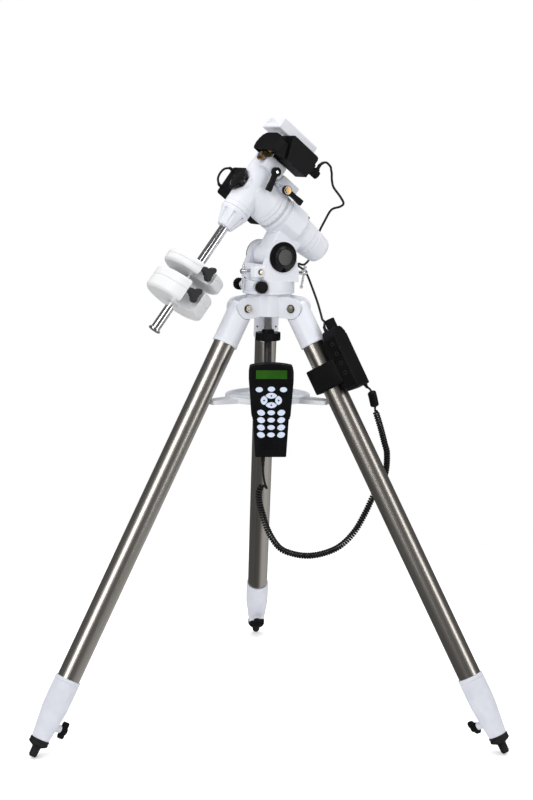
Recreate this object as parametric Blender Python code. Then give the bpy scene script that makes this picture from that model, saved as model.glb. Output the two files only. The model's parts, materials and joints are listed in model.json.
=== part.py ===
"""Equatorial telescope mount on a steel tripod, with two drive motors and a hand control.

Metres, +Z up. The origin is on the floor under the middle of the three feet's box.
"""
import bpy
import bmesh
from math import atan2, cos, hypot, pi, radians, sin
from mathutils import Matrix, Vector

# ---- driving dimensions ----
GAP = 0.0003                 # left between touching pieces
WELD = 0.00001               # corners closer than this are one
FOOT_RADIUS = 0.525          # foot tips from the tripod axis
LEG_APEX = 0.9475            # height where the three leg lines meet
HINGE_RADIUS = 0.062         # leg bolts from the tripod axis
LEG_ANGLES = {"left": 210.0, "right": 330.0, "rear": 90.0}
TUBE_RADIUS = 0.02225        # 44.5 mm leg tube
TUBE_WALL = 0.0015
EXTENSION_RADIUS = 0.016
HEAD_LENGTH = 0.080          # leg head, from the bolt down the leg
CLAMP_START = 0.791          # lower leg casting, from the bolt down the leg
CLAMP_END = 0.915
FOOT_TIP_RADIUS = 0.007
WING_TURNS = {"left": 0.0, "right": 40.0, "rear": 75.0}   # how far each knob is screwed round

HUB_BOTTOM = 0.819
HUB_TOP = 0.862
HUB_FACE = 0.043             # flat hub walls from the tripod axis
TONGUE = 0.028               # width of the leg tongue between its ears
EAR = 0.0095                 # thickness of one ear
ROD_RADIUS = 0.0078
ROD_HOLE = ROD_RADIUS + GAP
TRAY_BOTTOM = 0.648

HEADING = 207.0              # plan angle of the polar direction
LATITUDE = 38.1              # tilt of the polar axis
PIVOT_NORTH = -0.0057        # altitude axis from the tripod axis, towards the pole
PIVOT_HEIGHT = 0.9358
PIVOT_TO_RA = Vector((0.1185, 0.0, 0.0728))   # altitude axis to where the RA and Dec axes cross
BASE_RADIUS = 0.0515
BASE_TOP = 0.889
CHEEK_INNER = 0.030
CHEEK_OUTER = 0.046
CHEEK_RADIUS = 0.030
PEG_NORTH = 0.041            # azimuth peg and adjusting screws from the tripod axis
SCREW_HEIGHT = 0.8782
NORTH_BOLT = 0.9070          # heights of the two latitude bolts
SOUTH_BOLT = 0.9000
BOLT_TIP = 0.0105            # bolt tips from the altitude axis, in plan

RA_SEAM = -0.056             # where the turning casting meets the fixed polar housing
CAP_SEAM = -0.159            # where the rear cap meets the polar housing
SHAFT_RADIUS = 0.015         # RA and Dec shafts
WORM_RADIUS = 0.0065
RA_WHEEL_RADIUS = 0.031
DEC_WHEEL_RADIUS = 0.022
DEC_TUBE_RADIUS = 0.029
DEC_TOP = 0.078
BELL_TOP = -0.052
BELL_BOTTOM = -0.092
BAR_RADIUS = 0.0092          # counterweight bar
BAR_END = -0.338
WEIGHT_RADIUS = 0.0625
WEIGHTS = {"upper": (-0.212, -0.187), "lower": (-0.274, -0.228)}
NOTCH = 0.034
SADDLE_BOTTOM = 0.122
SADDLE_TOP = 0.146

LEG_TILT = atan2(FOOT_RADIUS, LEG_APEX)
TRIPOD_Y = -FOOT_RADIUS / 4
HINGE_HEIGHT = LEG_APEX - HINGE_RADIUS * LEG_APEX / FOOT_RADIUS
LEG_LENGTH = (HINGE_HEIGHT - FOOT_TIP_RADIUS * sin(LEG_TILT)) / cos(LEG_TILT)


# ---- helpers ----
def clear_scene():
    for item in list(bpy.data.objects):
        bpy.data.objects.remove(item, do_unlink=True)


def material(name, colour, roughness, metallic=0.0):
    made = bpy.data.materials.new(name)
    made.use_nodes = True
    shader = made.node_tree.nodes["Principled BSDF"]
    shader.inputs["Base Color"].default_value = (*colour, 1.0)
    shader.inputs["Roughness"].default_value = roughness
    shader.inputs["Metallic"].default_value = metallic
    return made


def axis_frame(name, location, rotation=(0.0, 0.0, 0.0), parent=None):
    """An empty whose axes a group of pieces is modelled in."""
    empty = bpy.data.objects.new(name, None)
    empty.location = location
    empty.rotation_euler = rotation
    empty.parent = parent
    bpy.context.collection.objects.link(empty)
    return empty


def from_bmesh(bm):
    bmesh.ops.recalc_face_normals(bm, faces=bm.faces)
    mesh = bpy.data.meshes.new("solid")
    bm.to_mesh(mesh)
    bm.free()
    solid = bpy.data.objects.new("solid", mesh)
    bpy.context.collection.objects.link(solid)
    return solid


ALONG = {
    "Z": Matrix.Identity(4),
    "X": Matrix.Rotation(pi / 2, 4, "Y"),
    "Y": Matrix.Rotation(-pi / 2, 4, "X"),
}


def turned(profile, axis="Z", centre=(0.0, 0.0, 0.0), steps=32):
    """Turn (radius, height) points about an axis; a profile off the axis closes into a ring."""
    bm = bmesh.new()
    rings = []
    for radius, height in profile:
        if radius == 0.0:
            rings.append([bm.verts.new((0.0, 0.0, height))])
            continue
        turn = [2 * pi * k / steps for k in range(steps)]
        rings.append([bm.verts.new((radius * cos(t), radius * sin(t), height)) for t in turn])
    pairs = list(zip(rings, rings[1:]))
    if profile[0][0] > 0.0 and profile[-1][0] > 0.0:
        pairs.append((rings[-1], rings[0]))
    for low, high in pairs:
        for k in range(steps):
            n = (k + 1) % steps
            if len(low) == 1:
                bm.faces.new((low[0], high[k], high[n]))
            elif len(high) == 1:
                bm.faces.new((low[k], low[n], high[0]))
            else:
                bm.faces.new((low[k], low[n], high[n], high[k]))
    bmesh.ops.transform(bm, matrix=Matrix.Translation(centre) @ ALONG[axis], verts=bm.verts)
    return from_bmesh(bm)


def rod(radius, low, high, axis="Z", centre=(0.0, 0.0, 0.0), steps=32):
    return turned([(0.0, low), (radius, low), (radius, high), (0.0, high)], axis, centre, steps)


def pipe(outer, inner, low, high, axis="Z", centre=(0.0, 0.0, 0.0), steps=32):
    ring = [(inner, low), (outer, low), (outer, high), (inner, high)]
    return turned(ring, axis, centre, steps)


def block(low, high, bevel=0.0, rings=1):
    """A box from its low corner to its high corner, with rounded edges where bevel is set."""
    bm = bmesh.new()
    bmesh.ops.create_cube(bm, size=1.0)
    low, high = Vector(low), Vector(high)
    size = high - low
    for vert in bm.verts:
        vert.co = (low + high) / 2 + Vector(a * b for a, b in zip(vert.co, size))
    if bevel:
        bmesh.ops.bevel(bm, geom=bm.edges[:], offset=bevel, segments=rings, affect="EDGES")
    return from_bmesh(bm)


def prism(outline, low, high, axis="Y"):
    """Extrude an outline of (x, z), (y, z) or (x, y) points along the axis left out."""
    place = {
        "Y": lambda u, v, w: (u, w, v),
        "X": lambda u, v, w: (w, u, v),
        "Z": lambda u, v, w: (u, v, w),
    }[axis]
    bm = bmesh.new()
    bottom = [bm.verts.new(place(u, v, low)) for u, v in outline]
    top = [bm.verts.new(place(u, v, high)) for u, v in outline]
    bm.faces.new(bottom)
    bm.faces.new(top)
    count = len(outline)
    for k in range(count):
        n = (k + 1) % count
        bm.faces.new((bottom[k], bottom[n], top[n], top[k]))
    return from_bmesh(bm)


def arc(centre, radius, start, end, steps):
    """Points on an arc from start to end degrees."""
    angles = [radians(start + (end - start) * k / steps) for k in range(steps + 1)]
    return [(centre[0] + radius * cos(a), centre[1] + radius * sin(a)) for a in angles]


def moved(solid, matrix):
    solid.data.transform(matrix)
    return solid


def combine(base, tools, operation):
    """Boolean the tools into the base, one after another, and keep only the result."""
    for tool in tools:
        step = base.modifiers.new("step", "BOOLEAN")
        step.operation = operation
        step.solver = "EXACT"
        step.object = tool
        view = bpy.context.evaluated_depsgraph_get()
        result = bpy.data.meshes.new_from_object(base.evaluated_get(view))
        base.modifiers.clear()
        base.data = result
        bpy.data.objects.remove(tool, do_unlink=True)
    tidy = bmesh.new()
    tidy.from_mesh(base.data)
    bmesh.ops.remove_doubles(tidy, verts=tidy.verts, dist=WELD)
    bmesh.ops.dissolve_degenerate(tidy, edges=tidy.edges, dist=WELD)
    tidy.to_mesh(base.data)
    tidy.free()
    return base


def join(base, *tools):
    return combine(base, tools, "UNION")


def cut(base, *tools):
    return combine(base, tools, "DIFFERENCE")


def piece(name, solid, look, parent, location=(0.0, 0.0, 0.0), smooth=True):
    """Name a solid, give it its material and put it in its frame."""
    solid.name = name
    solid.data.name = name
    solid.data.materials.clear()
    solid.data.materials.append(look)
    if smooth:
        solid.data.shade_smooth()
        solid.data.set_sharp_from_angle(angle=radians(35))
    solid.parent = parent
    solid.location = location
    return solid


def smooth_route(points, spacings):
    """Points on a Catmull-Rom curve through a route, with each span's own spacing."""
    route = [Vector(p) for p in points]
    ends = [2 * route[0] - route[1]] + route + [2 * route[-1] - route[-2]]
    out = []
    for span, (a, b, c, d) in enumerate(zip(ends, ends[1:], ends[2:], ends[3:])):
        steps = max(1, round((c - b).length / spacings[span]))
        for k in range(steps):
            t = k / steps
            spot = 0.5 * (2 * b + (c - a) * t + (2 * a - 5 * b + 4 * c - d) * t * t
                          + (3 * b - 3 * c + d - a) * t ** 3)
            out.append((spot, span))
    return out + [(route[-1], len(spacings) - 1)]


def cord(name, route, radius, look, parent, radii=None):
    """A round cord along a route; radii gives each span its own radius where it swells."""
    radii = radii or [radius] * (len(route) - 1)
    points = smooth_route(route, [4.4 * r for r in radii])
    curve = bpy.data.curves.new(name, "CURVE")
    curve.dimensions = "3D"
    curve.bevel_depth = radius
    curve.bevel_resolution = 2
    curve.use_fill_caps = True
    spline = curve.splines.new("POLY")
    spline.points.add(len(points) - 1)
    for k, (spot, span) in enumerate(points):
        spline.points[k].co = (*spot, 1.0)
        spline.points[k].radius = radii[span] / radius
    curve.materials.append(look)
    tube = bpy.data.objects.new(name, curve)
    tube.parent = parent
    bpy.context.collection.objects.link(tube)
    return tube


def knurled_knob(radius, low, high, axis, centre, lobes=0):
    """A round knob, or one with finger lobes when lobes is set."""
    if not lobes:
        edge = 0.0015
        profile = [(0.0, low), (radius - edge, low), (radius, low + edge),
                   (radius, high - edge), (radius - edge, high), (0.0, high)]
        return turned(profile, axis, centre, 20)
    count = lobes * 8
    outline = []
    for k in range(count):
        angle = 2 * pi * k / count
        reach = radius * (0.80 + 0.20 * cos(lobes * angle))
        outline.append((reach * cos(angle), reach * sin(angle)))
    knob = prism(outline, low, high, "Z")
    return moved(knob, Matrix.Translation(centre) @ ALONG[axis])


clear_scene()

# ---- materials ----
white = material("white_paint", (0.86, 0.87, 0.90), 0.38)
steel = material("brushed_steel", (0.52, 0.50, 0.47), 0.30, 1.0)
chrome = material("chrome", (0.80, 0.80, 0.80), 0.10, 1.0)
brass = material("brass", (0.75, 0.55, 0.25), 0.28, 1.0)
black_plastic = material("black_plastic", (0.02, 0.02, 0.022), 0.42)
gloss_black = material("gloss_black", (0.012, 0.012, 0.014), 0.18)
rubber = material("black_rubber", (0.018, 0.018, 0.018), 0.70)
tray_plastic = material("tray_plastic", (0.78, 0.79, 0.81), 0.45)
key_rubber = material("key_rubber", (0.80, 0.82, 0.85), 0.55)
steel_dark = material("machined_steel", (0.42, 0.42, 0.43), 0.35, 1.0)

# ---- frames ----
tripod = axis_frame("tripod_axis", (0.0, TRIPOD_Y, 0.0))
azimuth = axis_frame("azimuth_axis", (0.0, 0.0, 0.0), (0.0, 0.0, radians(HEADING)), tripod)
altitude = axis_frame("altitude_axis", (PIVOT_NORTH, 0.0, PIVOT_HEIGHT),
                      (0.0, -radians(LATITUDE), 0.0), azimuth)
ra_axis = axis_frame("ra_axis", PIVOT_TO_RA, (0.0, 0.0, 0.0), altitude)


# ---- tripod ----
def leg_head_solid():
    """Socket for the tube, with a tongue between the hub's ears and a shoulder outside them."""
    socket = rod(TUBE_RADIUS + 0.0033, -HEAD_LENGTH, 0.006, steps=28)
    level = Matrix.Rotation(LEG_TILT, 4, "Y")
    ear_room = [(-0.070, -0.0215)] + arc((0.0, 0.0), 0.0215, -88, 88, 8) + [(-0.070, 0.0215)]
    for low, high in ((-0.040, -TONGUE / 2), (TONGUE / 2, 0.040)):
        cut(socket, moved(prism(ear_room, low, high), level))
    cut(socket, moved(block((-0.080, -0.030, -0.045), (-0.0152, 0.030, 0.070)), level))
    return cut(socket, rod(TUBE_RADIUS + GAP, -HEAD_LENGTH - 0.01, -0.030, steps=24))


def clamp_solid():
    """Tapering lower casting with a stepped bore and a boss for its locking screw."""
    start, end = -CLAMP_START, -CLAMP_END
    body = turned([(0.0, end), (0.0178, end), (0.0222, end + 0.040), (0.0252, start - 0.040),
                   (0.0252, start - 0.008), (0.0248, start), (0.0, start)], steps=24)
    boss = rod(0.0075, -0.031, -0.012, "X", (0.0, 0.0, -0.886), 16)
    tube_bore = rod(TUBE_RADIUS + GAP, -0.862, start + 0.01, steps=24)
    through = rod(EXTENSION_RADIUS + GAP, end - 0.01, -0.850, steps=20)
    thread = rod(0.0036 + GAP, -0.040, 0.0, "X", (0.0, 0.0, -0.886), 12)
    return cut(join(body, boss), tube_bore, through, thread)


def lock_screw_solid(turn):
    """Screw with a two-wing knob turned by some degrees; its axis is X, its tip inboard."""
    wings = block((-0.0435, -0.0060, -0.0170), (-0.0335, 0.0060, 0.0170), 0.003)
    moved(wings, Matrix.Rotation(radians(turn), 4, "X"))
    hub = rod(0.0085, -0.0440, -0.0316, "X", steps=16)
    stem = rod(0.0036, -0.0340, -EXTENSION_RADIUS - GAP, "X", steps=12)
    return join(wings, hub, stem)


def foot_solid():
    end = -LEG_LENGTH
    collar = -CLAMP_END - GAP
    profile = [(0.0, end), (FOOT_TIP_RADIUS, end), (0.0082, end + 0.010), (0.0088, end + 0.019),
               (0.0165, collar - 0.012), (0.0190, collar - 0.010), (0.0190, collar),
               (0.0, collar)]
    return turned(profile, steps=20)


def make_leg(side, angle):
    place = Vector((HINGE_RADIUS * cos(radians(angle)), HINGE_RADIUS * sin(radians(angle)),
                    HINGE_HEIGHT))
    leg = axis_frame(f"leg_{side}_axis", place, (0.0, -LEG_TILT, radians(angle)), tripod)
    piece(f"leg_head_{side}", leg_head_solid(), white, leg)
    tube = pipe(TUBE_RADIUS, TUBE_RADIUS - TUBE_WALL, -0.860, -0.030 - GAP, steps=24)
    piece(f"leg_tube_{side}", tube, steel, leg)
    piece(f"leg_clamp_{side}", clamp_solid(), white, leg)
    inner = pipe(EXTENSION_RADIUS, EXTENSION_RADIUS - TUBE_WALL, -CLAMP_END, -0.470, steps=20)
    piece(f"leg_extension_{side}", inner, steel, leg)
    piece(f"foot_{side}", foot_solid(), rubber, leg)
    screw = lock_screw_solid(WING_TURNS[side])
    piece(f"leg_lock_screw_{side}", screw, black_plastic, leg, (0.0, 0.0, -0.886))


def hub_solid():
    """Hexagonal hub with three pairs of round-ended ears, a rod hole and the azimuth peg."""
    corner = HUB_FACE / cos(radians(30))
    outline = [(corner * cos(radians(30 + 60 * k)), corner * sin(radians(30 + 60 * k)))
               for k in range(6)]
    hub = prism(outline, HUB_BOTTOM, HUB_TOP, "Z")
    middle = HINGE_HEIGHT
    ear_radius = 0.0205
    for angle in LEG_ANGLES.values():
        turn = Matrix.Rotation(radians(angle), 4, "Z")
        for side in (-1, 1):
            low = TONGUE / 2 + GAP if side > 0 else -TONGUE / 2 - GAP - EAR
            ear = [(0.030, middle - ear_radius + 0.002), (HINGE_RADIUS, middle - ear_radius)]
            ear += arc((HINGE_RADIUS, middle), ear_radius, -60, 60, 8)
            ear += [(HINGE_RADIUS, middle + ear_radius), (0.030, HUB_TOP - 0.002)]
            join(hub, moved(prism(ear, low, low + EAR, "Y"), turn))
        slot = block((0.0455, -TONGUE / 2 - GAP, 0.80), (0.090, TONGUE / 2 + GAP, 0.88))
        cut(hub, moved(slot, turn))
    cut(hub, rod(ROD_HOLE, 0.80, 0.88))
    turn = Matrix.Rotation(radians(HEADING), 4, "Z")
    peg = rod(0.005, HUB_TOP - 0.004, 0.880, centre=(PEG_NORTH, 0.0, 0.0), steps=16)
    return join(hub, moved(peg, turn))


def clamp_rod_solid():
    """Centre rod with the round knob that draws the head down onto the hub."""
    body = turned([(0.0, 0.622), (ROD_RADIUS, 0.622), (ROD_RADIUS, 0.768), (0.023, 0.768),
                   (0.025, 0.770), (0.025, 0.782), (0.023, 0.784), (0.012, 0.784),
                   (0.012, 0.790), (ROD_RADIUS, 0.790), (ROD_RADIUS, 0.884), (0.0, 0.884)],
                  steps=32)
    return body


def tray_solid():
    """Dished round tray with three arms that meet the legs' inner sides."""
    bottom = TRAY_BOTTOM
    dish = turned([(0.0, bottom), (0.080, bottom), (0.085, bottom + 0.004),
                   (0.085, bottom + 0.012), (0.0, bottom + 0.012)], steps=32)
    reach = 0.1345
    for angle in LEG_ANGLES.values():
        arm = [(0.030, -0.030), (0.100, -0.019), (reach, -0.014), (reach, 0.014),
               (0.100, 0.019), (0.030, 0.030)]
        arm = prism(arm, bottom + 0.001, bottom + 0.010, "Z")
        join(dish, moved(arm, Matrix.Rotation(radians(angle), 4, "Z")))
    inside = turned([(0.016, bottom + 0.004), (0.077, bottom + 0.004), (0.080, bottom + 0.02),
                     (0.016, bottom + 0.02)], steps=32)
    return cut(dish, inside, rod(ROD_HOLE, 0.62, 0.70))


def tray_nut_solid():
    top = TRAY_BOTTOM - GAP
    knob = knurled_knob(0.019, top - 0.014, top, "Z", (0.0, 0.0, 0.0), 5)
    return cut(knob, rod(ROD_HOLE, 0.60, 0.68))


for side, angle in LEG_ANGLES.items():
    make_leg(side, angle)
piece("tripod_hub", hub_solid(), white, tripod)
piece("clamp_rod", clamp_rod_solid(), black_plastic, tripod)
piece("accessory_tray", tray_solid(), tray_plastic, tripod)
piece("tray_nut", tray_nut_solid(), black_plastic, tripod)


# ---- azimuth base and altitude adjustment (X north, Y towards the motor side, Z up) ----
def azimuth_base_solid():
    """Round base with a fork of two cheeks, two cross walls and bosses for the azimuth screws."""
    low = HUB_TOP + GAP
    base = turned([(0.0, low), (BASE_RADIUS, low), (BASE_RADIUS, BASE_TOP - 0.002),
                   (BASE_RADIUS - 0.002, BASE_TOP), (0.0, BASE_TOP)], steps=32)
    pivot = (PIVOT_NORTH, PIVOT_HEIGHT)
    cheek = [(-0.043, BASE_TOP - 0.003), (0.036, BASE_TOP - 0.003), (0.036, 0.912)]
    cheek += arc(pivot, CHEEK_RADIUS, -5, 185, 12) + [(-0.043, 0.905)]
    for side in (-1, 1):
        inner, outer = side * CHEEK_INNER, side * CHEEK_OUTER
        join(base, prism(cheek, min(inner, outer), max(inner, outer)))
    north_wall = block((0.024, -0.042, BASE_TOP - 0.003), (0.0355, 0.042, 0.921))
    south_wall = block((-0.0425, -0.042, BASE_TOP - 0.003), (-0.032, 0.042, 0.9135))
    lock_boss = block((0.030, 0.026, 0.8965), (0.056, CHEEK_OUTER - 0.0005, 0.9195), 0.002)
    join(base, north_wall, south_wall, lock_boss)
    for side in (-1, 1):
        near, far = side * 0.012, side * 0.0280
        boss = rod(0.0095, min(near, far), max(near, far), "Y", (PEG_NORTH, 0.0, SCREW_HEIGHT), 20)
        join(base, boss)
        near, far = side * 0.0283, side * 0.070
        cut(base, rod(0.0155, min(near, far), max(near, far), "Y", (PEG_NORTH, 0.0, SCREW_HEIGHT), 20))
    cut(base, block((PEG_NORTH - 0.0055, -0.0115, 0.85), (PEG_NORTH + 0.0055, 0.0115, 0.883)))
    cut(base, block((0.0490, -0.0080, 0.870), (0.060, 0.0080, 0.95)))
    cut(base, rod(0.0040 + GAP, -0.060, 0.060, "Y", (PEG_NORTH, 0.0, SCREW_HEIGHT), 16))
    cut(base, rod(ROD_HOLE, 0.85, 0.885))
    cut(base, rod(0.006 + GAP, -0.060, 0.060, "Y", (PIVOT_NORTH, 0.0, PIVOT_HEIGHT), 24))
    cut(base, rod(0.004 + GAP, 0.0, 0.060, "X", (0.0, 0.0, NORTH_BOLT), 16))
    return cut(base, rod(0.004 + GAP, -0.060, 0.0, "X", (0.0, 0.0, SOUTH_BOLT), 16))


def azimuth_screw_solid(side):
    """Screw along Y with a black knob outside and its tip 1 mm off the peg."""
    stem = rod(0.0040, 0.0060, 0.0420, "Y", steps=16)
    knob = knurled_knob(0.0120, 0.0405, 0.0510, "Y", (0.0, 0.0, 0.0))
    screw = join(knob, stem)
    return screw if side > 0 else moved(screw, Matrix.Rotation(pi, 4, "Z"))


def altitude_disc(low, high):
    """Bevelled round cap with a raised middle, turned about Y."""
    return turned([(0.0, low), (0.0300, low), (0.0300, low + 0.0030), (0.0210, high - 0.003),
                   (0.0170, high - 0.003), (0.0160, high), (0.0, high)], "Y", steps=40)


def altitude_bolt_solid():
    disc = altitude_disc(CHEEK_OUTER + GAP, CHEEK_OUTER + 0.011)
    return join(disc, rod(0.006, -CHEEK_OUTER, CHEEK_OUTER + 0.002, "Y", steps=24))


def latitude_bolt_solid(tip, end, lean):
    """T-handled bolt along X from its tip to its end, with a leaning cross bar with ball ends."""
    way = 1 if end > tip else -1
    stem = rod(0.0040, min(tip, end), max(tip, end), "X", steps=16)
    hub = rod(0.0055, -0.0045, 0.0045, "X", (end, 0.0, 0.0), 18)
    bar = rod(0.0021, -0.0300, 0.0105, "Z", steps=12)
    for height in (-0.0300, 0.0105):
        ball = rod(0.0033, height - 0.003, height + 0.003, "Z", steps=12)
        join(bar, ball)
    turn = Matrix.Rotation(radians(way * lean), 4, "Y") @ Matrix.Rotation(radians(15), 4, "Z")
    return join(stem, hub, moved(bar, Matrix.Translation((end, 0.0, 0.0)) @ turn))


piece("azimuth_base", azimuth_base_solid(), white, azimuth)
for name, side in (("near", 1), ("far", -1)):
    spot = (PEG_NORTH, 0.0, SCREW_HEIGHT)
    piece(f"azimuth_screw_{name}", azimuth_screw_solid(side), black_plastic, azimuth, spot)
pivot_spot = (PIVOT_NORTH, 0.0, PIVOT_HEIGHT)
piece("altitude_bolt", altitude_bolt_solid(), gloss_black, azimuth, pivot_spot)
far_cap = moved(altitude_disc(CHEEK_OUTER + GAP, CHEEK_OUTER + 0.011), Matrix.Rotation(pi, 4, "Z"))
piece("altitude_cap", far_cap, gloss_black, azimuth, pivot_spot)
north_bolt = latitude_bolt_solid(PIVOT_NORTH + BOLT_TIP, 0.0565, -8)
piece("latitude_bolt_north", north_bolt, chrome, azimuth, (0.0, 0.0, NORTH_BOLT))
south_bolt = latitude_bolt_solid(PIVOT_NORTH - BOLT_TIP, -0.0820, 12)
piece("latitude_bolt_south", south_bolt, chrome, azimuth, (0.0, 0.0, SOUTH_BOLT))


# ---- polar housing (X along the polar axis, Z along the declination axis) ----
def ra_housing_solid():
    """Fixed polar housing: stepped tube, flat-sided middle, altitude boss and its tab."""
    body = turned([(0.0, CAP_SEAM), (0.0315, CAP_SEAM), (0.0325, -0.140), (0.0345, -0.130),
                   (0.0365, -0.082), (0.0390, -0.078), (0.0390, RA_SEAM - GAP),
                   (0.0220, RA_SEAM - GAP), (0.0220, -0.041), (0.0, -0.041)],
                  "X", steps=32)
    flats = [(0.0405 * cos(radians(22.5 + 45 * k)), 0.0405 * sin(radians(22.5 + 45 * k)))
             for k in range(8)]
    pivot = Vector((-PIVOT_TO_RA.x, 0.0, -PIVOT_TO_RA.z))
    boss = rod(0.0245, -CHEEK_INNER + 0.0005, CHEEK_INNER - 0.0005, "Y", pivot, 28)
    neck = prism([(-0.145, -0.070), (-0.095, -0.068), (-0.089, -0.020), (-0.150, -0.018)],
                 -0.024, 0.024)
    tab = block((-0.0090, -0.0095, -0.0425), (0.0090, 0.0095, -0.010))
    upright = Matrix.Translation(pivot) @ Matrix.Rotation(radians(LATITUDE), 4, "Y")
    join(body, prism(flats, -0.127, -0.085, "X"), boss, neck, moved(tab, upright))
    cut(body, rod(SHAFT_RADIUS + GAP, -0.17, -0.03, "X", steps=28))
    return cut(body, rod(0.006 + GAP, -0.04, 0.04, "Y", pivot, 20))


def ra_cap_solid():
    """Rounded rear cap over the polar bore."""
    outer = [(0.0, -0.2085), (0.014, -0.2085)]
    outer += [(0.014 + 0.0135 * sin(radians(a)), -0.195 - 0.0135 * cos(radians(a)))
              for a in (22, 45, 68, 90)]
    outer += [(0.0305, -0.172), (0.0313, CAP_SEAM - GAP), (0.0280, CAP_SEAM - GAP),
              (0.0245, -0.190), (0.012, -0.2050), (0.0, -0.2050)]
    return turned(outer, "X", steps=28)


def wheel_solid(radius, bore, low, high, axis, teeth=30):
    """Worm wheel with a toothed rim."""
    outline = []
    for k in range(teeth * 2):
        reach = radius if k % 2 else radius - 0.0012
        outline.append((reach * cos(pi * k / teeth), reach * sin(pi * k / teeth)))
    wheel = moved(prism(outline, low, high, "Z"), ALONG[axis])
    return cut(wheel, rod(bore, low - 0.01, high + 0.01, axis, steps=32))


def worm_solid(low, high, axis):
    """Worm: a plain shaft with a thicker threaded middle."""
    middle = (low + high) / 2
    return turned([(0.0, low), (0.0035, low), (0.0035, middle - 0.013),
                   (WORM_RADIUS, middle - 0.013), (WORM_RADIUS, middle + 0.013),
                   (0.0035, middle + 0.013), (0.0035, high), (0.0, high)], axis, steps=20)


def dec_worm_solid():
    """Declination worm with its brass drive gear on the end, under the gear cover."""
    middle = 0.0060
    return turned([(0.0, -0.0210), (0.0035, -0.0210), (0.0035, middle - 0.013),
                   (WORM_RADIUS, middle - 0.013), (WORM_RADIUS, middle + 0.013),
                   (0.0035, middle + 0.013), (0.0035, 0.0310), (0.0130, 0.0310),
                   (0.0130, 0.0390), (0.0, 0.0390)], "X", steps=24)


RA_WORM_SPOT = (-0.048, 0.0, RA_WHEEL_RADIUS + WORM_RADIUS + GAP)
DEC_WORM_SPOT = (0.0, DEC_WHEEL_RADIUS + WORM_RADIUS + GAP, 0.058)
DEC_LEVER_SPOT = (-0.004, 0.0405, 0.0470)
RA_LEVER_SPOT = (-0.0475, 0.0355, 0.0360)


def dec_housing_solid():
    """Turning casting: declination tube, neck over the RA wheel and the two worm blocks."""
    tube = rod(DEC_TUBE_RADIUS, BELL_TOP + GAP, DEC_TOP, "Z", steps=32)
    neck = turned([(0.0, RA_SEAM), (0.0390, RA_SEAM), (0.0390, -0.042), (0.0350, -0.020),
                   (0.0300, 0.0), (0.0, 0.0)], "X", steps=32)
    face = rod(0.0255, -0.001, 0.0320, "X", steps=32)
    ra_block = block((-0.0760, -0.0270, 0.0396), (-0.0300, 0.0270, 0.0600), 0.002)
    ra_root = block((-0.0545, -0.0210, 0.0350), (-0.0335, 0.0210, 0.0420))
    dec_block = block((-0.0230, 0.0120, 0.0410), (0.0250, 0.0400, 0.0690), 0.003)
    motor_pad = block((-0.0310, -0.0325, -0.0160), (0.0160, -0.0100, 0.0310), 0.003)
    lever_boss = rod(0.0076, 0.0150, 0.0352, "Y", (RA_LEVER_SPOT[0], 0.0, RA_LEVER_SPOT[2]), 18)
    join(tube, neck, face, ra_block, ra_root, dec_block, motor_pad, lever_boss)
    cut(tube, rod(RA_WHEEL_RADIUS + 0.001, RA_SEAM - 0.01, -0.0405, "X", steps=30))
    cut(tube, rod(SHAFT_RADIUS + GAP, -0.060, -0.0190, "X", steps=28))
    cut(tube, rod(SHAFT_RADIUS + GAP, -0.07, 0.09, "Z", steps=30))
    cut(tube, rod(DEC_WHEEL_RADIUS + 0.001, 0.0505, 0.09, "Z", steps=32))
    cut(tube, rod(0.0200, 0.0190, 0.0400, "X", steps=28))
    for along, near, up in (DEC_LEVER_SPOT, RA_LEVER_SPOT):
        cut(tube, rod(0.0035 + GAP, near - 0.0085, 0.0500, "Y", (along, 0.0, up), 16))
    cut(tube, rod(WORM_RADIUS + 0.0005, -0.040, 0.024, "Y", RA_WORM_SPOT, 18))
    cut(tube, rod(0.0035 + GAP, -0.050, 0.060, "Y", RA_WORM_SPOT, 14))
    cut(tube, rod(WORM_RADIUS + 0.0005, -0.0190, 0.060, "X", DEC_WORM_SPOT, 18))
    return cut(tube, rod(0.0035 + GAP, -0.050, 0.060, "X", DEC_WORM_SPOT, 14))


piece("ra_housing", ra_housing_solid(), white, ra_axis)
piece("ra_cap", ra_cap_solid(), white, ra_axis)
ra_shaft = pipe(SHAFT_RADIUS, 0.0115, -0.155, -0.0195, "X", steps=32)
piece("ra_shaft", ra_shaft, steel_dark, ra_axis)
ra_wheel = wheel_solid(RA_WHEEL_RADIUS, 0.0220 + GAP, -0.0540, -0.0420, "X")
piece("ra_worm_wheel", ra_wheel, brass, ra_axis)
piece("ra_worm", worm_solid(-0.0265, 0.0265, "Y"), steel_dark, ra_axis, RA_WORM_SPOT)
piece("dec_housing", dec_housing_solid(), white, ra_axis)
polar_cap = turned([(0.0, 0.0245), (0.0196, 0.0245), (0.0196, 0.0323), (0.0242, 0.0323),
                    (0.0242, 0.0355), (0.0225, 0.0375), (0.0, 0.0375)], "X", steps=40)
piece("polar_cap", polar_cap, gloss_black, ra_axis)


# ---- declination axis ----
def bell_solid():
    """Fluted white cone that carries the counterweight bar."""
    cone = turned([(0.0, BELL_BOTTOM), (0.0150, BELL_BOTTOM), (0.0168, BELL_BOTTOM + 0.002),
                   (DEC_TUBE_RADIUS - 0.001, BELL_TOP - 0.008), (DEC_TUBE_RADIUS, BELL_TOP - 0.004),
                   (DEC_TUBE_RADIUS, BELL_TOP), (0.0, BELL_TOP)], steps=32)
    lean = Matrix.Rotation(radians(14), 4, "Y")
    for k in range(8):
        flute = rod(0.0036, -0.040, 0.012, "Z", steps=8)
        out = Matrix.Translation((0.0245, 0.0, (BELL_TOP + BELL_BOTTOM) / 2)) @ lean
        cut(cone, moved(flute, Matrix.Rotation(2 * pi * (k + 0.5) / 8, 4, "Z") @ out))
    return cut(cone, rod(BAR_RADIUS + GAP, BELL_BOTTOM - 0.01, BELL_TOP - 0.006))


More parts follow.
